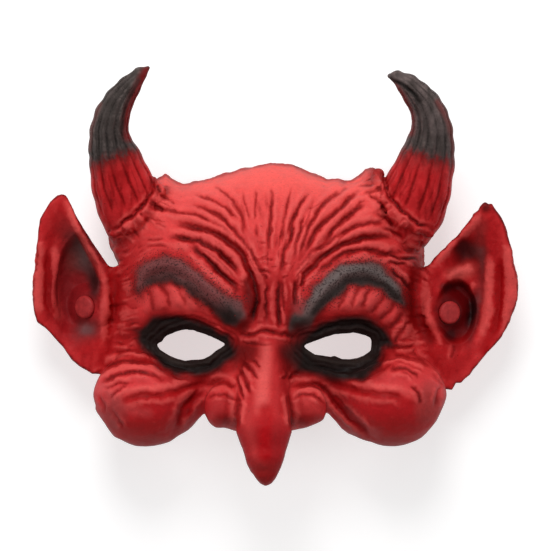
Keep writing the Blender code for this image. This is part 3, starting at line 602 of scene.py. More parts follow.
def carving(u, v):
    """Fine relief and the painted shade of its grooves, at drawing places."""
    h, dark = np.zeros(len(u)), np.zeros(len(u))
    flat = np.zeros(len(u))
    wu = u + 1.1 * noise(u, v, flat, 7.0, 31) + 0.6 * noise(u, v, flat, 3.0, 32)
    wv = v + 1.1 * noise(u, v, flat, 7.0, 33) + 0.6 * noise(u, v, flat, 3.0, 34)
    for group in (FOREHEAD, GLABELLA, EYES, CHEEK_LINES, NOSE_LINES, HORN_LINES, CREASES, RIDGES):
        skinny = group in (FOREHEAD, GLABELLA, EYES, CHEEK_LINES, NOSE_LINES)
        for w, depth, shade, points in group:
            arr = np.array(smooth_line(points, 4.0))
            lo, hi = arr.min(0) - 9 * w, arr.max(0) + 9 * w
            sel = np.nonzero((u > lo[0]) & (u < hi[0]) & (v > lo[1]) & (v < hi[1]))[0]
            if not len(sel):
                continue
            warp = 0.35 if group is HORN_LINES else 1.0
            su, sv = u[sel] + warp * (wu - u)[sel], v[sel] + warp * (wv - v)[sel]
            best, where = np.full(len(sel), 1e9), np.zeros(len(sel))
            seg = np.linalg.norm(np.diff(arr, axis=0), axis=1)
            start = np.concatenate([[0], np.cumsum(seg)])
            for i in range(len(arr) - 1):
                e = arr[i + 1] - arr[i]
                t = np.clip(((su - arr[i, 0]) * e[0] + (sv - arr[i, 1]) * e[1]) / max(e.dot(e), 1e-9), 0, 1)
                d = np.hypot(su - arr[i, 0] - t * e[0], sv - arr[i, 1] - t * e[1])
                near = d < best
                best = np.where(near, d, best)
                where = np.where(near, start[i] + t * seg[i], where)
            taper = step(-0.03, 0.22, where / start[-1]) * step(1.03, 0.78, where / start[-1])
            taper = taper * (0.92 + 0.2 * noise(su, sv, flat[sel], 9.0, 35))
            if skinny:
                w, depth = (1.1 * w, 0.58 * depth) if group is EYES else (w, 1.15 * depth)
            groove = np.exp(-(best / w) ** 2) * taper
            h[sel] -= depth * groove
            if depth > 0:
                h[sel] += 0.42 * depth * np.exp(-((best - 2.4 * w) / (1.25 * w)) ** 2) * taper
                if skinny:
                    h[sel] -= 0.16 * depth * np.exp(-((best - 4.6 * w) / (0.8 * w)) ** 2) * taper
            dark[sel] = np.maximum(dark[sel], shade * np.exp(-(best / (1.1 * w)) ** 2) * np.clip(taper, 0, 1))
    # the fan of hair-fine wrinkles that rises out of the knot between the brows
    phi, rr = np.arctan2(u - 272, 304 - v), np.hypot(u - 272, v - 304)
    clear = step(2.0, 10.0, np.minimum(outline_distance(u, v, BROWN_L), outline_distance(u, v, BROWN_R)))
    fan = step(26, 44, rr) * step(138, 92, rr) * step(1.45, 1.15, np.abs(phi)) * clear
    hair = noise(phi * 92 + 3 * noise(u, v, flat, 18.0, 61), rr * 0.10, flat, 3.4, 62) \
        + 0.5 * noise(phi * 92, rr * 0.16, flat, 1.9, 63)
    h += 0.30 * hair * fan
    dark = np.maximum(dark, 0.5 * step(-0.25, -0.95, hair) * fan)
    # folds that run round the eye holes
    for outline in (EYE_L, EYE_R):
        d = outline_distance(wu, wv, outline)
        rings = np.cos(2 * math.pi * (d + 2.0 * noise(u, v, flat, 16.0, 36)) / 5.0) * step(1.0, 5.0, d) * step(24.0, 10.0, d)
        h += 0.3 * rings
        dark = np.maximum(dark, 0.35 * np.clip(-rings, 0, 1))
    # long ridges of the horns
    for spec in HORNS:
        best, across, along = np.full(len(u), 1e9), np.zeros(len(u)), np.zeros(len(u))
        start = 0.0
        for p, q in zip(spec[:-1], spec[1:]):
            ex, ey = q[0] - p[0], q[1] - p[1]
            length = math.hypot(ex, ey)
            t = np.clip(((u - p[0]) * ex + (v - p[1]) * ey) / length ** 2, 0, 1)
            du, dv = u - p[0] - t * ex, v - p[1] - t * ey
            rad = (p[3] + (q[3] - p[3]) * t) / 0.487
            d = np.hypot(du, dv) / rad
            near = d < best
            best = np.where(near, d, best)
            across = np.where(near, np.sign(ex * dv - ey * du) * d, across)
            along = np.where(near, start + t * length, along)
            start += length
        turn = np.arcsin(np.clip(across, -1, 1)) * 15 + 1.1 * noise(along * 0.3, across * 4, flat, 6.0, 43)
        valley = ((1 - np.cos(turn)) / 2) ** 6
        fine = step(0.0, 0.8, noise(across * 24 + noise(along, flat, flat, 12.0, 64), along * 0.03, flat, 1.0, 65))
        on = step(1.06, 0.98, best) * step(8, 22, along) * step(start - 4, start - 30, along)
        on = on * (0.75 + 0.35 * noise(along, across * 5, flat, 14.0, 44))
        h -= (0.8 * valley + 0.3 * fine) * on
        dark = np.maximum(dark, np.maximum(0.6 * valley, 0.35 * fine) * on)
    # short pleats that run out from the horn collars on to the face
    for line, sign in ((COLLAR_LINE_L, -1), (COLLAR_LINE_R, 1)):
        arr = np.array(line, float)
        best, where, side = np.full(len(u), 1e9), np.zeros(len(u)), np.zeros(len(u))
        start = 0.0
        for a, b in zip(arr, arr[1:]):
            e = b - a
            length = math.hypot(*e)
            t = np.clip(((u - a[0]) * e[0] + (v - a[1]) * e[1]) / length ** 2, 0, 1)
            du, dv = u - a[0] - t * e[0], v - a[1] - t * e[1]
            d = np.hypot(du, dv)
            near = d < best
            best = np.where(near, d, best)
            where = np.where(near, start + t * length, where)
            side = np.where(near, np.sign(e[0] * dv - e[1] * du) * sign, side)
            start += length
        on = step(0.5, 3.0, best) * step(34.0, 10.0, best) * (side > 0) * step(108, 122, u) * step(432, 420, u)
        pleat = noise(where, best * 0.2, flat, 3.4, 37) + 0.5 * noise(where, best * 0.3, flat, 1.8, 38)
        h += 0.75 * pleat * on
        dark = np.maximum(dark, 0.7 * step(-0.15, -0.9, pleat) * on)
    # creased skin of the temples, beside the eyes and over the ears
    for cx, cy, rx, ry, tilt in ((128, 258, 26, 34, 0.5), (414, 262, 24, 30, -0.5), (124, 318, 20, 36, 0.1),
                                 (412, 326, 20, 34, -0.1), (398, 345, 26, 12, 0.1), (136, 344, 24, 10, 0.0)):
        zone = step(1.15, 0.6, np.sqrt(((u - cx) / rx) ** 2 + ((v - cy) / ry) ** 2)) * clear
        skew = v + tilt * (u - cx) + 2.5 * noise(u, v, flat, 9.0, 66)
        crease = noise((u - tilt * v) * 0.16, skew, flat, 2.7, 67) + 0.5 * noise((u - tilt * v) * 0.3, skew, flat, 1.5, 68)
        h += 0.42 * crease * zone
        dark = np.maximum(dark, 0.5 * step(-0.2, -1.0, crease) * zone)
    # overall fine creasing
    h += 0.13 * noise(wu, wv * 0.5, flat, 2.4, 39) + 0.11 * noise(wu * 0.5, wv, flat, 2.2, 40)
    return h, dark


# ------------------------------------------------------------------- paint
def linear(rgb):
    c = np.array(rgb, float) / 255.0
    return np.where(c <= 0.04045, c / 12.92, ((c + 0.055) / 1.055) ** 2.4)


def blob(u, v, cx, cy, rx, ry, soft=0.35, turn=0.0):
    a = math.radians(turn)
    du, dv = (u - cx) * math.cos(a) + (v - cy) * math.sin(a), -(u - cx) * math.sin(a) + (v - cy) * math.cos(a)
    return step(1 + soft, 1 - soft, np.sqrt((du / rx) ** 2 + (dv / ry) ** 2))


def band(u, v, points, w, soft=0.5):
    d = line_distance(u, v, points)
    return step(w * (1 + soft), w * (1 - soft), d)


def patch(u, v, points, soft=3.0):
    return step(soft, -soft, outline_distance(u, v, points))


BLACK_L = [(137, 333), (145, 327), (155, 319), (165, 316.5), (180, 316), (190, 319), (200, 322), (210, 327), (218, 331),
           (226, 336), (233, 350), (230, 360), (220, 368), (210, 372), (200, 374), (190, 375), (175, 372), (165, 367),
           (157, 361), (150, 352), (141, 343)]
BLACK_R = [(300, 344), (304, 335), (312, 331), (320, 327), (330, 322), (340, 320), (350, 319), (360, 319), (370, 321),
           (378, 325), (385, 331), (391, 338), (393, 343), (384, 348), (383, 355), (380, 363), (372, 371), (362, 377),
           (350, 379), (335, 379), (320, 377), (310, 374), (300, 370)]
BROWN_L = [(137, 284), (138, 274), (146, 264), (155, 260), (165, 258), (178, 260), (188, 266), (198, 273), (208, 281),
           (218, 290), (228, 298), (240, 305), (244, 316), (234, 325), (221, 314), (208, 298), (190, 284), (170, 275),
           (150, 278), (140, 290)]
BROWN_R = [(297, 316), (305, 305), (314, 290), (328, 274), (338, 268), (350, 264), (370, 263), (380, 267), (388, 273),
           (402, 288), (407, 300), (404, 306), (388, 291), (376, 283), (368, 280), (348, 283), (333, 296), (320, 311),
           (306, 330), (294, 330)]


def paint(x, y, z, nz, height):
    """Colour of every place, laid on like an airbrush, coat over coat, with painted highlights and painted shade among
    the coats.
    """
    u, v = drawing(x, y, z)
    wob = noise(u, v, z * 0, 14.0, 3) * 3.0 + noise(u, v, z * 0, 5.0, 4) * 1.2
    uu, vv = u + wob, v + noise(u, v, z * 0, 11.0, 5) * 2.5
    col = np.tile(linear((203, 60, 60)), (len(u), 1))

    def coat(mask, rgb, strength=1.0):
        m = (np.clip(mask, 0, 1) * strength)[:, None]
        col[:] = col * (1 - m) + linear(rgb) * m

    face = ((v > 160) & (u > 104) & (u < 430)).astype(float)
    # painted highlight: the top of the forehead painted lighter, where it curves up towards the light
    coat(step(262, 200, vv) * face, (224, 84, 80), 0.8)
    coat(step(205, 180, vv) * step(150, 175, u) * step(392, 370, u) * face, (238, 100, 92), 0.9)
    # deeper red paint on the temple sides, with painted shade added where they slope away
    coat(step(150, 118, uu) * step(205, 235, v) * step(360, 335, v), (158, 26, 32), 0.75)
    coat(step(392, 420, uu) * step(215, 245, v) * step(360, 335, v), (158, 26, 32), 0.75)
    coat(blob(uu, vv, 272, 305, 30, 30, 0.5), (150, 26, 32), 0.75)
    coat(blob(uu, vv, 261, 300, 4, 26, 0.6), (110, 30, 30), 0.6)
    # painted shade in the grooves between the brows
    coat(band(u, v, [(247, 282), (250, 298), (249, 314), (244, 328)], 6.0, 0.8), (78, 16, 18), 0.8)
    coat(band(u, v, [(296, 286), (293, 302), (292, 318)], 5.0, 0.9), (120, 24, 28), 0.6)
    # lid mounds under the brows, each with a lighter painted highlight on top
    coat(blob(uu, vv, 178, 298, 42, 16, 0.4), (206, 70, 68), 0.8)
    coat(blob(uu, vv, 190, 302, 18, 9, 0.9), (224, 88, 84), 0.5)
    coat(blob(uu, vv, 362, 299, 44, 16, 0.4), (204, 70, 68), 0.8)
    coat(blob(uu, vv, 356, 300, 16, 9, 0.9), (222, 88, 84), 0.5)
    # cheeks: painted highlight on the upper part, painted shade darker towards the bottom
    for cx, sign in ((147, 1), (390, -1)):
        on = blob(u, v, cx, 399, 62, 52, 0.2)
        coat(on * step(365, 385, vv), (205, 66, 68), 0.7)
        coat(on * step(389, 397, vv), (178, 30, 38), 0.75)
        coat(on * step(396, 412, vv), (170, 28, 36), 0.6)
        coat(on * step(410, 428, vv), (160, 44, 44), 0.7)
        coat(on * step(430, 446, vv), (140, 48, 46), 0.7)
    coat(band(uu, vv, [(104, 388), (112, 400), (126, 408), (146, 412)], 5.0, 0.9), (206, 96, 94), 0.4)
    # painted highlight on the cheek fold ridges and painted shade in the fold valleys
    coat(band(uu, vv, [(120, 396), (140, 390), (162, 388), (184, 382)], 4.0, 0.9), (222, 88, 84), 0.45)
    coat(band(uu, vv, [(126, 403), (146, 399), (166, 397), (184, 390), (204, 385)], 3.5, 0.9), (150, 4, 14), 0.5)
    coat(band(uu, vv, [(414, 396), (396, 390), (376, 388), (356, 382)], 4.0, 0.9), (222, 88, 84), 0.45)
    coat(band(uu, vv, [(410, 403), (390, 399), (370, 397), (352, 390), (334, 385)], 3.5, 0.9), (150, 4, 14), 0.5)
    coat(blob(uu, vv, 112, 414, 11, 18, 0.7), (148, 88, 86), 0.7)
    coat(blob(uu, vv, 428, 404, 12, 18, 0.6), (150, 84, 80), 0.6)
    # nose
    coat(blob(uu, vv, 266, 392, 26, 60, 0.3), (184, 52, 54), 0.85)
    # painted highlight along the nose ridge
    coat(band(u, v, [(265, 350), (264, 372), (262, 395), (262, 410)], 6.5, 0.8), (224, 100, 94), 0.75)
    # painted shade over the lower nose
    coat(step(412, 436, vv) * blob(u, v, 264, 450, 32, 46, 0.2), (150, 30, 38), 0.85)
    # painted highlight down the left side of the lower nose
    coat(band(u, v, [(246, 412), (249, 432), (254, 452), (260, 468)], 5.0, 0.9), (188, 72, 70), 0.5)
    coat(band(u, v, [(265, 410), (265, 430), (265, 454)], 6.5, 0.7), (168, 0, 18), 0.85)
    # painted highlight on the nose tip
    coat(blob(uu, vv, 262, 470, 8, 8, 0.8), (160, 66, 64), 0.6)
    # painted shade on the underside of the nose
    coat(step(455, 475, vv) * blob(u, v, 264, 460, 26, 30, 0.2), (143, 44, 44), 0.8)
    # painted shadow down the right side of the nose
    coat(band(u, v, [(282, 350), (283, 372), (284, 392), (284, 410)], 4.0, 0.9), (148, 20, 28), 0.7)
    coat(blob(uu, vv, 222, 407, 14, 15, 0.5), (178, 56, 58), 0.75)
    coat(blob(uu, vv, 306, 407, 17, 15, 0.5), (174, 58, 58), 0.75)
    # painted shade under the nostril wings
    coat(blob(uu, vv, 222, 424, 18, 9, 0.4), (140, 40, 42), 0.7)
    coat(blob(uu, vv, 309, 424, 20, 9, 0.4), (140, 40, 42), 0.7)
    # painted shade along the smile folds
    coat(band(u, v, SMILE_L, 5.0, 0.9), (158, 22, 30), 0.6)
    coat(band(u, v, SMILE_R, 5.0, 0.9), (158, 22, 30), 0.6)
    # brows and eye black
    brow_l, brow_r = outline_distance(uu, vv, BROWN_L), outline_distance(uu, vv, BROWN_R)
    coat(step(12.0, 1.0, brow_l), (132, 24, 28), 0.7)
    coat(step(12.0, 1.0, brow_r), (118, 24, 28), 0.7)
    coat(step(6.5, -1.5, brow_l), (112, 80, 79), 0.92)
    coat(step(6.5, -1.5, brow_r), (92, 82, 80), 0.92)
    # painted shade along the underside of the brow ridges
    coat(band(uu, vv, [(150, 282), (170, 279), (188, 287), (203, 300), (215, 312), (226, 320)], 4.5, 0.9), (42, 34, 32), 0.85)
    coat(band(uu, vv, [(404, 300), (390, 288), (368, 279), (348, 282), (333, 294), (316, 312)], 4.5, 0.9), (36, 32, 30), 0.85)
    # painted highlight along the tops of the brow ridges
    coat(band(uu, vv, [(150, 268), (168, 265), (184, 270), (200, 280), (216, 294)], 3.5, 0.9), (122, 84, 84), 0.5)
    coat(band(uu, vv, [(396, 284), (380, 273), (360, 268), (342, 271), (328, 282), (314, 298)], 3.5, 0.9), (104, 96, 94), 0.6)
    coat(blob(uu, vv, 231, 315, 13, 10, 0.8, 35), (24, 20, 18), 0.92)
    coat(blob(uu, vv, 299, 322, 10, 11, 0.8), (34, 28, 26), 0.88)
    # painted highlight on top of the inner brow ends
    coat(blob(uu, vv, 238, 306, 6, 5, 0.6), (112, 80, 80), 0.7)
    coat(blob(uu, vv, 300, 306, 6, 8, 0.6), (150, 84, 84), 0.6)
    eye_l, eye_r = outline_distance(uu, vv, BLACK_L), outline_distance(uu, vv, BLACK_R)
    coat(step(16.0, 0.0, eye_l), (110, 12, 18), 0.8)
    coat(step(16.0, 0.0, eye_r), (104, 12, 18), 0.8)
    coat(blob(uu, vv, 246, 352, 16, 16, 0.8), (60, 16, 16), 0.7)
    coat(blob(uu, vv, 294, 354, 15, 18, 0.8), (34, 20, 18), 0.85)
    coat(step(5.5, -4.0, eye_l), (22, 15, 13), 0.98)
    coat(step(6.0, -3.5, eye_r), (22, 15, 13), 0.98)
    # painted highlight, a brown line over the black of the lower lids
    coat(band(u, v, [(160, 354), (180, 364), (192, 367), (205, 364), (224, 349)], 2.0, 0.8), (48, 38, 34), 0.5)
    coat(band(u, v, [(306, 351), (320, 359), (336, 363), (352, 363), (368, 358)], 2.0, 0.8), (48, 38, 34), 0.5)
    # horns
    left, right = (u < 156) & (v < 236), (u > 380) & (v < 244)
    for side, on in enumerate((left, right)):
        d = run(x, y, z, HORNS[side], 1.0)
        horn = on * step(2.5, 0.5, d) * step(2.0, 3.2, run(x, y, z, COLLARS[side], 1.0) + 3.0)
        coat(horn, (192, 42, 46), 0.95)
        # painted highlight on the raised horn ridges
        coat(horn * step(0.0, 0.2, height), (206, 60, 60), 0.5)
        turn = 162 if side == 0 else 160
        inner = (u - 110) * 0.35 if side == 0 else (432 - u) * 0.25
        line = v + inner + noise(u, v * 0.25, z * 0, 3.0, 8) * 3.0 + noise(u, v, z * 0, 1.6, 9) * 3.0
        coat(horn * step(turn + 19, turn - 13, line), (66, 58, 56) if side == 0 else (86, 74, 72), 1.0)
        coat(horn * step(turn - 8, turn - 45, line), (86, 76, 73) if side == 0 else (108, 94, 92), 0.75)
        grey = horn * step(turn + 8, turn - 14, line)
        # painted shade in the grooves of the grey tips
        coat(grey * step(0.12, -0.12, height), (36, 30, 28), 0.35)
        # painted highlight on the ridges of the grey tips
        coat(grey * step(0.0, 0.14, height), (118, 104, 100), 0.3)
        streak = step(0.1, 0.7, noise(u * 1.0, v * 0.18, z * 0, 3.2, 21 + side))
        coat(horn * streak * step(turn + 10, turn - 10, line), (52, 46, 43), 0.55)
        coat(horn * streak * step(turn - 10, turn + 10, line), (120, 14, 22), 0.45)
        collar = step(1.2, 0.0, run(x, y, z, COLLARS[side], 1.0))
        coat(collar * on, (168, 42, 44), 0.75)
    coat(left * band(u, v, [(129, 136), (128, 118), (132, 104), (140, 86), (147, 72)], 5.0, 0.9), (134, 40, 42), 0.7)
    coat(left * band(u, v, [(122, 128), (124, 110), (131, 95), (139, 80)], 2.0, 0.9), (46, 38, 36), 0.6)
    coat(right * band(u, v, [(410, 132), (410, 116), (402, 98), (394, 86)], 4.0, 0.9), (128, 48, 46), 0.6)
    coat(right * band(u, v, [(391, 79), (402, 84), (412, 92), (420, 101)], 2.4, 0.9), (28, 22, 20), 0.8)
    coat(right * band(u, v, [(438, 102), (449, 122), (454, 145), (454, 160)], 3.0, 0.9), (116, 58, 54), 0.55)
    coat(left * band(u, v, [(100, 104), (91, 128), (89, 150)], 2.2, 0.9), (116, 70, 66), 0.45)
    # ears
    for side, outline in enumerate((EAR_L, EAR_R)):
        on = step(5.5, 2.6, np.abs(z - ear_height(side, u, v))) * (run(x, y, z, HORNS[side], 1.0) > 1.5)
        on = on * (step(122, 110, u) if side == 0 else step(412, 424, u))
        edge = outline_distance(u, v, outline)
        ear = on * step(3.0, -1.0, edge)
        coat(ear, (168, 30, 36), 0.95)
        # painted highlight on the rolled rim just inside the ear edge
        coat(ear * step(-14, -4, edge), (196, 52, 54), 0.65)
        coat(ear * step(-2.2, -0.2, edge + 0.9 * noise(u, v, z * 0, 3.0, 53)), (70, 16, 18), 0.75)
        mottle = 0.6 * noise(u, v * 0.5, z * 0, 6.0, 51) + 0.6 * noise(u + v * 0.3, v * 0.35, z * 0, 2.6, 52)
        coat(ear * step(0.1, 0.8, mottle), (206, 66, 64), 0.35)
        coat(ear * step(-0.1, -0.8, mottle), (136, 8, 18), 0.4)
    coat(blob(uu, vv, 76, 284, 23, 50, 0.6, 8), (126, 46, 52), 0.85)
    coat(blob(uu, vv, 79, 250, 12, 26, 0.7, -30), (88, 76, 74), 0.85)
    coat(blob(uu, vv, 63, 236, 9, 22, 0.8, -10), (120, 44, 46), 0.5)
    # painted shade in the deep crease beside the left concha
    coat(blob(uu, vv, 93, 284, 6, 18, 0.8, -10), (30, 16, 15), 0.85)
    coat(blob(uu, vv, 72, 262, 7, 10, 0.8), (134, 86, 80), 0.6)
    coat(blob(uu, vv, 60, 288, 8, 30, 0.8), (128, 44, 50), 0.6)
    coat(blob(uu, vv, 85, 328, 12, 10, 0.8), (88, 82, 82), 0.75)
    # painted shade in the ear valley and in the creases where the ears meet the face
    coat(band(u, v, [(49, 262), (48, 290), (51, 314)], 4.0, 0.8), (140, 4, 16), 0.75)
    coat(band(uu, v, [(110, 268), (113, 290), (112, 306), (109, 322), (105, 338)], 4.5, 0.9), (150, 6, 14), 0.7)
    coat(band(uu, v, [(415, 268), (412, 285), (411, 300), (413, 315), (419, 327), (430, 338)], 6.5, 0.7), (118, 2, 9), 0.85)
    # painted highlight along the ear ridge, painted shade in the grooves beside it
    coat(band(u, v, [(66, 202), (74, 222), (86, 244), (96, 262), (103, 278)], 3.0, 0.8), (218, 78, 74), 0.7)
    coat(band(u, v, [(71, 203), (80, 222), (92, 243), (104, 262)], 1.2, 0.8), (96, 14, 20), 0.7)
    coat(band(u, v, [(76, 214), (87, 233), (99, 253)], 0.9, 0.8), (96, 14, 20), 0.6)
    coat(blob(uu, vv, 488, 207, 7, 5, 0.8), (60, 20, 20), 0.8)
    coat(band(u, v, [(495, 209), (504, 222), (509, 240)], 2.0, 0.8), (84, 24, 24), 0.7)
    coat(blob(uu, vv, 457, 312, 22, 33, 0.3), (84, 0, 5), 0.95)
    coat(band(u, v, [(477, 290), (479, 305), (477, 322), (470, 338)], 3.0, 0.9), (104, 36, 38), 0.7)
    coat(blob(uu, vv, 473, 312, 5, 16, 0.7), (18, 4, 5), 0.9)
    coat(blob(uu, vv, 446, 288, 7, 4, 0.8), (40, 6, 8), 0.7)
    coat(blob(uu, vv, 466, 250, 12, 12, 0.6, 40), (40, 20, 20), 0.85)
    coat(blob(uu, vv, 480, 246, 8, 30, 0.6), (96, 60, 58), 0.6)
    coat(band(u, v, [(482, 250), (484, 275), (482, 300)], 4.0, 0.8), (104, 70, 70), 0.6)
    coat(blob(uu, vv, 460, 272, 14, 8, 0.6, -16), (186, 92, 84), 0.7)
    # painted shade in the right ear valley
    coat(band(u, v, [(500, 262), (499, 290), (498, 310), (493, 332), (484, 350)], 4.5, 0.8), (158, 2, 16), 0.85)
    # painted highlight along the right ear ridge
    coat(band(u, v, [(489, 258), (488, 290), (486, 318), (478, 340)], 3.0, 0.8), (206, 62, 62), 0.6)
    coat(blob(uu, vv, 452, 336, 6, 5, 0.6), (40, 8, 10), 0.7)
    # painted highlight on the ridges, painted shade in the hollows
    warm = step(0.05, 0.4, col[:, 0] - col[:, 1])
    lids = np.maximum(blob(u, v, 178, 300, 46, 22, 0.3), blob(u, v, 366, 302, 46, 26, 0.3))
    coat(step(0.04, 0.6, height) * warm * step(0.12, 0.3, col[:, 0]) * (1 - 0.7 * lids), (230, 102, 96), 0.5)
    coat(step(-0.05, -1.0, height) * warm, (136, 2, 10), 0.6)
    # painted shade on the walls that turn sideways
    coat(step(0.42, 0.0, nz) * step(-0.3, 0.0, nz) * step(3.0, 6.0, z), (70, 12, 16), 0.45)
    # dark trim along the top edge of the forehead
    top = v - np.interp(u, [p[0] for p in BROWLINE], [p[1] for p in BROWLINE]) + 0.8 * noise(u, v, z * 0, 3.0, 54)
    coat(face * step(3.4, 0.6, top) * (1 - step(380, 390, u)) * step(148, 154, u), (122, 30, 32), 0.6)
    # painted shade under the tips of the horn collars
    coat(face * blob(uu, vv, 372, 177, 6, 12, 0.8, 25), (96, 14, 20), 0.6)
    coat(face * blob(uu, vv, 155, 187, 5, 9, 0.8, -20), (110, 16, 22), 0.6)
    # back and inside: bare tinted foam
    inside = step(1.2, 0.3, hollow_form(x, y, z, head_form(x, y, z), relief(u, v) * step(15, 35, z)))
    horned = step(2.5, 0.5, np.minimum(run(x, y, z, HORNS[0], 1.0), run(x, y, z, HORNS[1], 1.0)))
    coat(np.maximum(inside, step(-0.05, -0.45, nz) * (1 - horned)), (158, 46, 46), 0.9)
    # painted shade on the lowest surfaces near the floor that do not face up
    coat(step(7.0, 1.5, z) * step(-0.3, 0.2, nz), (96, 34, 32), 0.7)
    red = step(0.02, 0.2, col[:, :1] - col[:, 1:2])
    rich = 0.28 + 0.50 * step(0.12, 0.72, col[:, :1])
    return np.clip(col * np.concatenate([np.ones_like(rich), rich, rich * 1.03], 1) ** red, 0, 1)


# ------------------------------------------------------------ build the skin
lo = np.array([-127.0, -108.0, -4.0])
hi = np.array([127.0, 108.0, 99.0])
n = np.ceil((hi - lo) / STEP).astype(int) + 1
gx = (lo[0] + STEP * np.arange(n[0]))[:, None, None]
gy = (lo[1] + STEP * np.arange(n[1]))[None, :, None]
gz = (lo[2] + STEP * np.arange(n[2]))[None, None, :]
verts, quads = surface_net(skin(gx, gy, gz, coarse=True), lo, STEP)
verts = settle(settle(relax(settle(verts, 1.2), quads, 0.5), 1.0), 1.0)
verts, quads = halve(verts, quads)
verts = settle(settle(verts))

nrm = normals(verts, quads)
u, v = drawing(*verts.T)
height, dark = carving(u, v)
front = step(0.02, 0.30, nrm[:, 2])
lumps = 0.16 * noise(*verts.T, 6.0, 1) + 0.10 * noise(*verts.T, 2.6, 2)
on_horn = np.minimum(run(*verts.T, HORNS[0], 1.0), run(*verts.T, HORNS[1], 1.0))
lumps = lumps * (1 - 0.75 * step(2.0, 0.5, on_horn))
verts = verts + nrm * (height * UNIT * 1.5 * front + lumps * step(0.5, 2.5, verts[:, 2]))[:, None]
verts[:, 2] = np.maximum(verts[:, 2], 0.0)

mesh = bpy.data.meshes.new("mask_skin_net")
mesh.from_pydata(verts.tolist(), [], quads.tolist())
net = bpy.data.objects.new("mask_skin_net", mesh)
bpy.context.scene.collection.objects.link(net)
back = net.vertex_groups.new(name="back")
back.add(np.nonzero(nrm[:, 2] < -0.05)[0].tolist(), 1.0, "REPLACE")
back.add(np.nonzero(nrm[:, 2] >= -0.05)[0].tolist(), 0.4, "REPLACE")
thin = net.modifiers.new("thin", "DECIMATE")
thin.vertex_group = "back"
thin.vertex_group_factor = 0.0012
thin.ratio = min(1.0, 196000 / (2 * len(quads)))
bpy.context.view_layer.update()
skin_mesh = bpy.data.meshes.new_from_object(net.evaluated_get(bpy.context.evaluated_depsgraph_get()))
bpy.data.objects.remove(net, do_unlink=True)
skin_mesh.name = "mask_skin"
for vertex in skin_mesh.vertices:
    if vertex.co.z < 0.0:
        vertex.co.z = 0.0
skin_mesh.transform(Matrix.Scale(0.001, 4))
skin_obj = bpy.data.objects.new("mask_skin", skin_mesh)
bpy.context.scene.collection.objects.link(skin_obj)

count = len(skin_mesh.vertices)
co = np.empty(count * 3)
skin_mesh.vertices.foreach_get("co", co)
co = co.reshape(-1, 3) * 1000
no = np.empty(count * 3)
skin_mesh.vertices.foreach_get("normal", no)
no = no.reshape(-1, 3)
u, v = drawing(*co.T)
height, dark = carving(u, v)
colour = paint(co[:, 0], co[:, 1], co[:, 2], no[:, 2], height)
# the groove darkness, painted shade of the grooves, goes into the alpha of the paint layer
dark = np.clip(dark * step(0.0, 0.3, no[:, 2]), 0, 1)
brow = np.minimum(outline_distance(u, v, BROWN_L), outline_distance(u, v, BROWN_R))
speckle = step(20.0, 2.0, brow) * step(325, 300, v)
spots = skin_mesh.attributes.new("speckle", "FLOAT", "POINT")
spots.data.foreach_set("value", np.clip(speckle, 0, 1))
layer = skin_mesh.color_attributes.new("paint", "FLOAT_COLOR", "POINT")
layer.data.foreach_set("color", np.concatenate([colour, dark[:, None]], 1).ravel())
skin_mesh.shade_smooth()
print("skin", len(skin_mesh.polygons), "faces,", int((no[:, 2] < -0.05).sum()), "of", count, "corners at the back")


# --------------------------------------------------------------- materials
def new_material(name):
    mat = bpy.data.materials.new(name)
    mat.use_nodes = True
    return mat, mat.node_tree.nodes, mat.node_tree.links, mat.node_tree.nodes["Principled BSDF"]


def math_node(nodes, links, operation, a, b):
    node = nodes.new("ShaderNodeMath")
    node.operation = operation
    for socket, value in zip(node.inputs, (a, b)):
        if isinstance(value, float):
            socket.default_value = value
        else:
            links.new(value, socket)
    return node.outputs[0]


def map_range(nodes, links, value, from_min, from_max, to_min, to_max):
    node = nodes.new("ShaderNodeMapRange")
    for name, number in zip(("From Min", "From Max", "To Min", "To Max"), (from_min, from_max, to_min, to_max)):
        node.inputs[name].default_value = number
    links.new(value, node.inputs["Value"])
    return node.outputs["Result"]


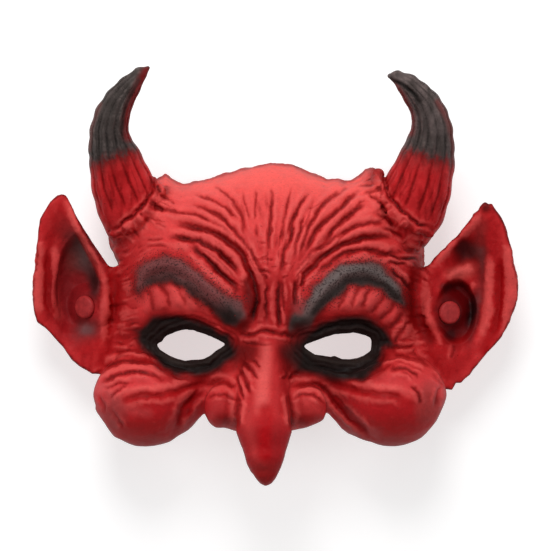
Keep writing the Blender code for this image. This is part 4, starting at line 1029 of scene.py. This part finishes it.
def foam_material():
    mat, nodes, links, shader = new_material("painted_foam")
    tint = nodes.new("ShaderNodeVertexColor")
    tint.layer_name = "paint"
    where = nodes.new("ShaderNodeTexCoord")
    speck = nodes.new("ShaderNodeTexNoise")
    speck.inputs["Scale"].default_value = 900.0
    speck.inputs["Detail"].default_value = 4.0
    cloud = nodes.new("ShaderNodeTexNoise")
    cloud.inputs["Scale"].default_value = 160.0
    cloud.inputs["Detail"].default_value = 5.0
    links.new(where.outputs["Object"], speck.inputs["Vector"])
    links.new(where.outputs["Object"], cloud.inputs["Vector"])
    both = math_node(nodes, links, "MULTIPLY", speck.outputs["Fac"], cloud.outputs["Fac"])
    shade = map_range(nodes, links, both, 0.12, 0.38, 0.90, 1.08)
    mul = nodes.new("ShaderNodeVectorMath")
    mul.operation = "SCALE"
    links.new(tint.outputs["Color"], mul.inputs[0])
    links.new(shade, mul.inputs["Scale"])
    # painted shade in the grooves: the same colour, deeper and darker, with a broken edge
    deep = nodes.new("ShaderNodeGamma")
    deep.inputs["Gamma"].default_value = 1.9
    links.new(mul.outputs[0], deep.inputs["Color"])
    deeper = nodes.new("ShaderNodeVectorMath")
    deeper.operation = "SCALE"
    deeper.inputs["Scale"].default_value = 0.55
    links.new(deep.outputs["Color"], deeper.inputs[0])
    grain = map_range(nodes, links, speck.outputs["Fac"], 0.3, 0.7, -0.18, 0.18)
    groove_shade = math_node(nodes, links, "ADD", tint.outputs["Alpha"], grain)
    fac = map_range(nodes, links, groove_shade, 0.12, 0.95, 0.0, 1.0)
    blend = nodes.new("ShaderNodeMix")
    blend.data_type = "RGBA"
    links.new(fac, blend.inputs["Factor"])
    links.new(mul.outputs[0], blend.inputs[6])
    links.new(deeper.outputs[0], blend.inputs[7])
    # dry-brushed dark specks, thick over the brows and few elsewhere
    where_specks = nodes.new("ShaderNodeAttribute")
    where_specks.attribute_name = "speckle"
    fine = nodes.new("ShaderNodeTexNoise")
    fine.inputs["Scale"].default_value = 1100.0
    fine.inputs["Detail"].default_value = 2.0
    links.new(where.outputs["Object"], fine.inputs["Vector"])
    level = math_node(nodes, links, "MULTIPLY", where_specks.outputs["Fac"], 0.165)
    level = math_node(nodes, links, "ADD", fine.outputs["Fac"], level)
    spot = map_range(nodes, links, level, 0.695, 0.775, 0.0, 0.75)
    specked = nodes.new("ShaderNodeMix")
    specked.data_type = "RGBA"
    specked.inputs[7].default_value = (0.02, 0.008, 0.008, 1)
    links.new(spot, specked.inputs["Factor"])
    links.new(blend.outputs[2], specked.inputs[6])
    links.new(specked.outputs[2], shader.inputs["Base Color"])
    rough = nodes.new("ShaderNodeMapRange")
    rough.inputs["To Min"].default_value = 0.44
    rough.inputs["To Max"].default_value = 0.66
    links.new(cloud.outputs["Fac"], rough.inputs["Value"])
    links.new(rough.outputs["Result"], shader.inputs["Roughness"])
    shader.inputs["Specular IOR Level"].default_value = 0.1
    bump = nodes.new("ShaderNodeBump")
    bump.inputs["Strength"].default_value = 0.5
    bump.inputs["Distance"].default_value = 0.0004
    links.new(both, bump.inputs["Height"])
    links.new(bump.outputs["Normal"], shader.inputs["Normal"])
    return mat


skin_mesh.materials.clear()
skin_mesh.materials.append(foam_material())
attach(skin_obj, "root")
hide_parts("mask_shell")


# ----------------------------------------------------------- strap buttons
def button_material():
    mat, nodes, links, shader = new_material("painted_button")
    where = nodes.new("ShaderNodeTexCoord")
    wear = nodes.new("ShaderNodeTexNoise")
    wear.inputs["Scale"].default_value = 420.0
    wear.inputs["Detail"].default_value = 5.0
    links.new(where.outputs["Object"], wear.inputs["Vector"])
    ramp = nodes.new("ShaderNodeValToRGB")
    ramp.color_ramp.elements[0].position = 0.3
    ramp.color_ramp.elements[0].color = (*linear((146, 32, 34)), 1)
    ramp.color_ramp.elements[1].position = 0.7
    ramp.color_ramp.elements[1].color = (*linear((176, 46, 47)), 1)
    links.new(wear.outputs["Fac"], ramp.inputs["Fac"])
    links.new(ramp.outputs["Color"], shader.inputs["Base Color"])
    shader.inputs["Roughness"].default_value = 0.55
    shader.inputs["Specular IOR Level"].default_value = 0.2
    bump = nodes.new("ShaderNodeBump")
    bump.inputs["Strength"].default_value = 0.2
    bump.inputs["Distance"].default_value = 0.0002
    links.new(wear.outputs["Fac"], bump.inputs["Height"])
    links.new(bump.outputs["Normal"], shader.inputs["Normal"])
    return mat


button_mat = button_material()


def turned_button(name, side, node):
    front, back = PAD_H / 2 + GAP, -PAD_H / 2 - GAP
    profile = [(0.0, front + 2.45)]
    profile += [(r, front + 2.45 - 0.25 * (r / 4.6) ** 2) for r in (1.5, 3.0, 4.2)]
    profile += [(4.2 + 1.6 * math.sin(a), front + 0.7 + 1.55 * math.cos(a)) for a in
                (math.radians(90 * i / 6) for i in range(1, 7))]
    profile += [(5.8, front + 0.4), (5.65, front + 0.05), (5.4, front), (2.0, front), (2.0, back), (5.1, back),
                (5.4, back - 0.3), (5.4, back - 1.2), (5.1, back - 1.5), (0.0, back - 1.5)]
    turns = 72
    ring = [(r, z) for r, z in profile[1:-1]]
    pts = [(0.0, 0.0, profile[0][1])]
    for r, z in ring:
        pts += [(r * math.cos(2 * math.pi * i / turns), r * math.sin(2 * math.pi * i / turns), z) for i in range(turns)]
    pts.append((0.0, 0.0, profile[-1][1]))
    faces = [(0, 1 + i, 1 + (i + 1) % turns) for i in range(turns)]
    for k in range(len(ring) - 1):
        a, b = 1 + k * turns, 1 + (k + 1) * turns
        faces += [(a + i, b + i, b + (i + 1) % turns, a + (i + 1) % turns) for i in range(turns)]
    a, last = 1 + (len(ring) - 1) * turns, len(pts) - 1
    faces += [(a + i, last, a + (i + 1) % turns) for i in range(turns)]
    (dx, dy), lean, z = BUTTONS[side]
    place = Matrix.Translation(Vector(at(dx, dy, z) * 0.001)) @ Matrix.Rotation(math.radians(lean), 4, "Y")
    data = bpy.data.meshes.new(name)
    data.from_pydata([tuple(place @ (Vector(p) * 0.001)) for p in pts], [], faces)
    data.shade_smooth()
    data.set_sharp_from_angle(angle=math.radians(50))
    ob = bpy.data.objects.new(name, data)
    bpy.context.scene.collection.objects.link(ob)
    data.materials.append(button_mat)
    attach(ob, "root")
    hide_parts(node)


turned_button("button_skin_left", 0, "strap_button_left")
turned_button("button_skin_right", 1, "strap_button_right")

# ------------------------------------------------------ floor, light, camera
bpy.context.scene.view_settings.view_transform = "Standard"
bpy.context.scene.view_settings.look = "None"

floor_mesh = bpy.data.meshes.new("floor")
s = 3.0
floor_mesh.from_pydata([(-s, -s, 0), (s, -s, 0), (s, s, 0), (-s, s, 0)], [], [(0, 1, 2, 3)])
floor = bpy.data.objects.new("floor", floor_mesh)
floor.location.z = -0.0002
bpy.context.scene.collection.objects.link(floor)
mat, nodes, links, shader = new_material("floor_paper")
shader.inputs["Base Color"].default_value = (0.6, 0.6, 0.6, 1)
shader.inputs["Specular IOR Level"].default_value = 0.0
shader.inputs["Emission Color"].default_value = (1, 1, 1, 1)
shader.inputs["Emission Strength"].default_value = 0.6
shader.inputs["Roughness"].default_value = 0.9
floor_mesh.materials.append(mat)

world = bpy.data.worlds.new("studio")
world.use_nodes = True
world.node_tree.nodes["Background"].inputs["Color"].default_value = (1, 1, 1, 1)
world.node_tree.nodes["Background"].inputs["Strength"].default_value = 0.24
bpy.context.scene.world = world


def soft_light(name, place, aim, size, power):
    data = bpy.data.lights.new(name, "AREA")
    data.shape = "DISK"
    data.size = size
    data.energy = power
    ob = bpy.data.objects.new(name, data)
    ob.location = place
    ob.rotation_euler = (Vector(aim) - Vector(place)).to_track_quat("-Z", "Y").to_euler()
    bpy.context.scene.collection.objects.link(ob)


soft_light("key", (-0.1, 1.0, 1.1), (0, 0, 0.04), 0.7, 13.0)
soft_light("left", (-1.2, 0.15, 1.15), (0, 0, 0.04), 0.8, 5.5)
soft_light("right", (1.2, 0.1, 1.15), (0, 0, 0.04), 0.8, 4.5)

camera_data = bpy.data.cameras.new("camera")
camera_data.sensor_width = 36.0
camera_data.lens = 36.0 * (EYE - TRUE_Z) / (551 * UNIT)
camera_data.clip_start, camera_data.clip_end = 0.05, 20.0
camera = bpy.data.objects.new("camera", camera_data)
camera.location = (SHIFT_X * 0.001, SHIFT_Y * 0.001, EYE * 0.001)
bpy.context.scene.collection.objects.link(camera)
bpy.context.scene.camera = camera

bpy.context.view_layer.update()
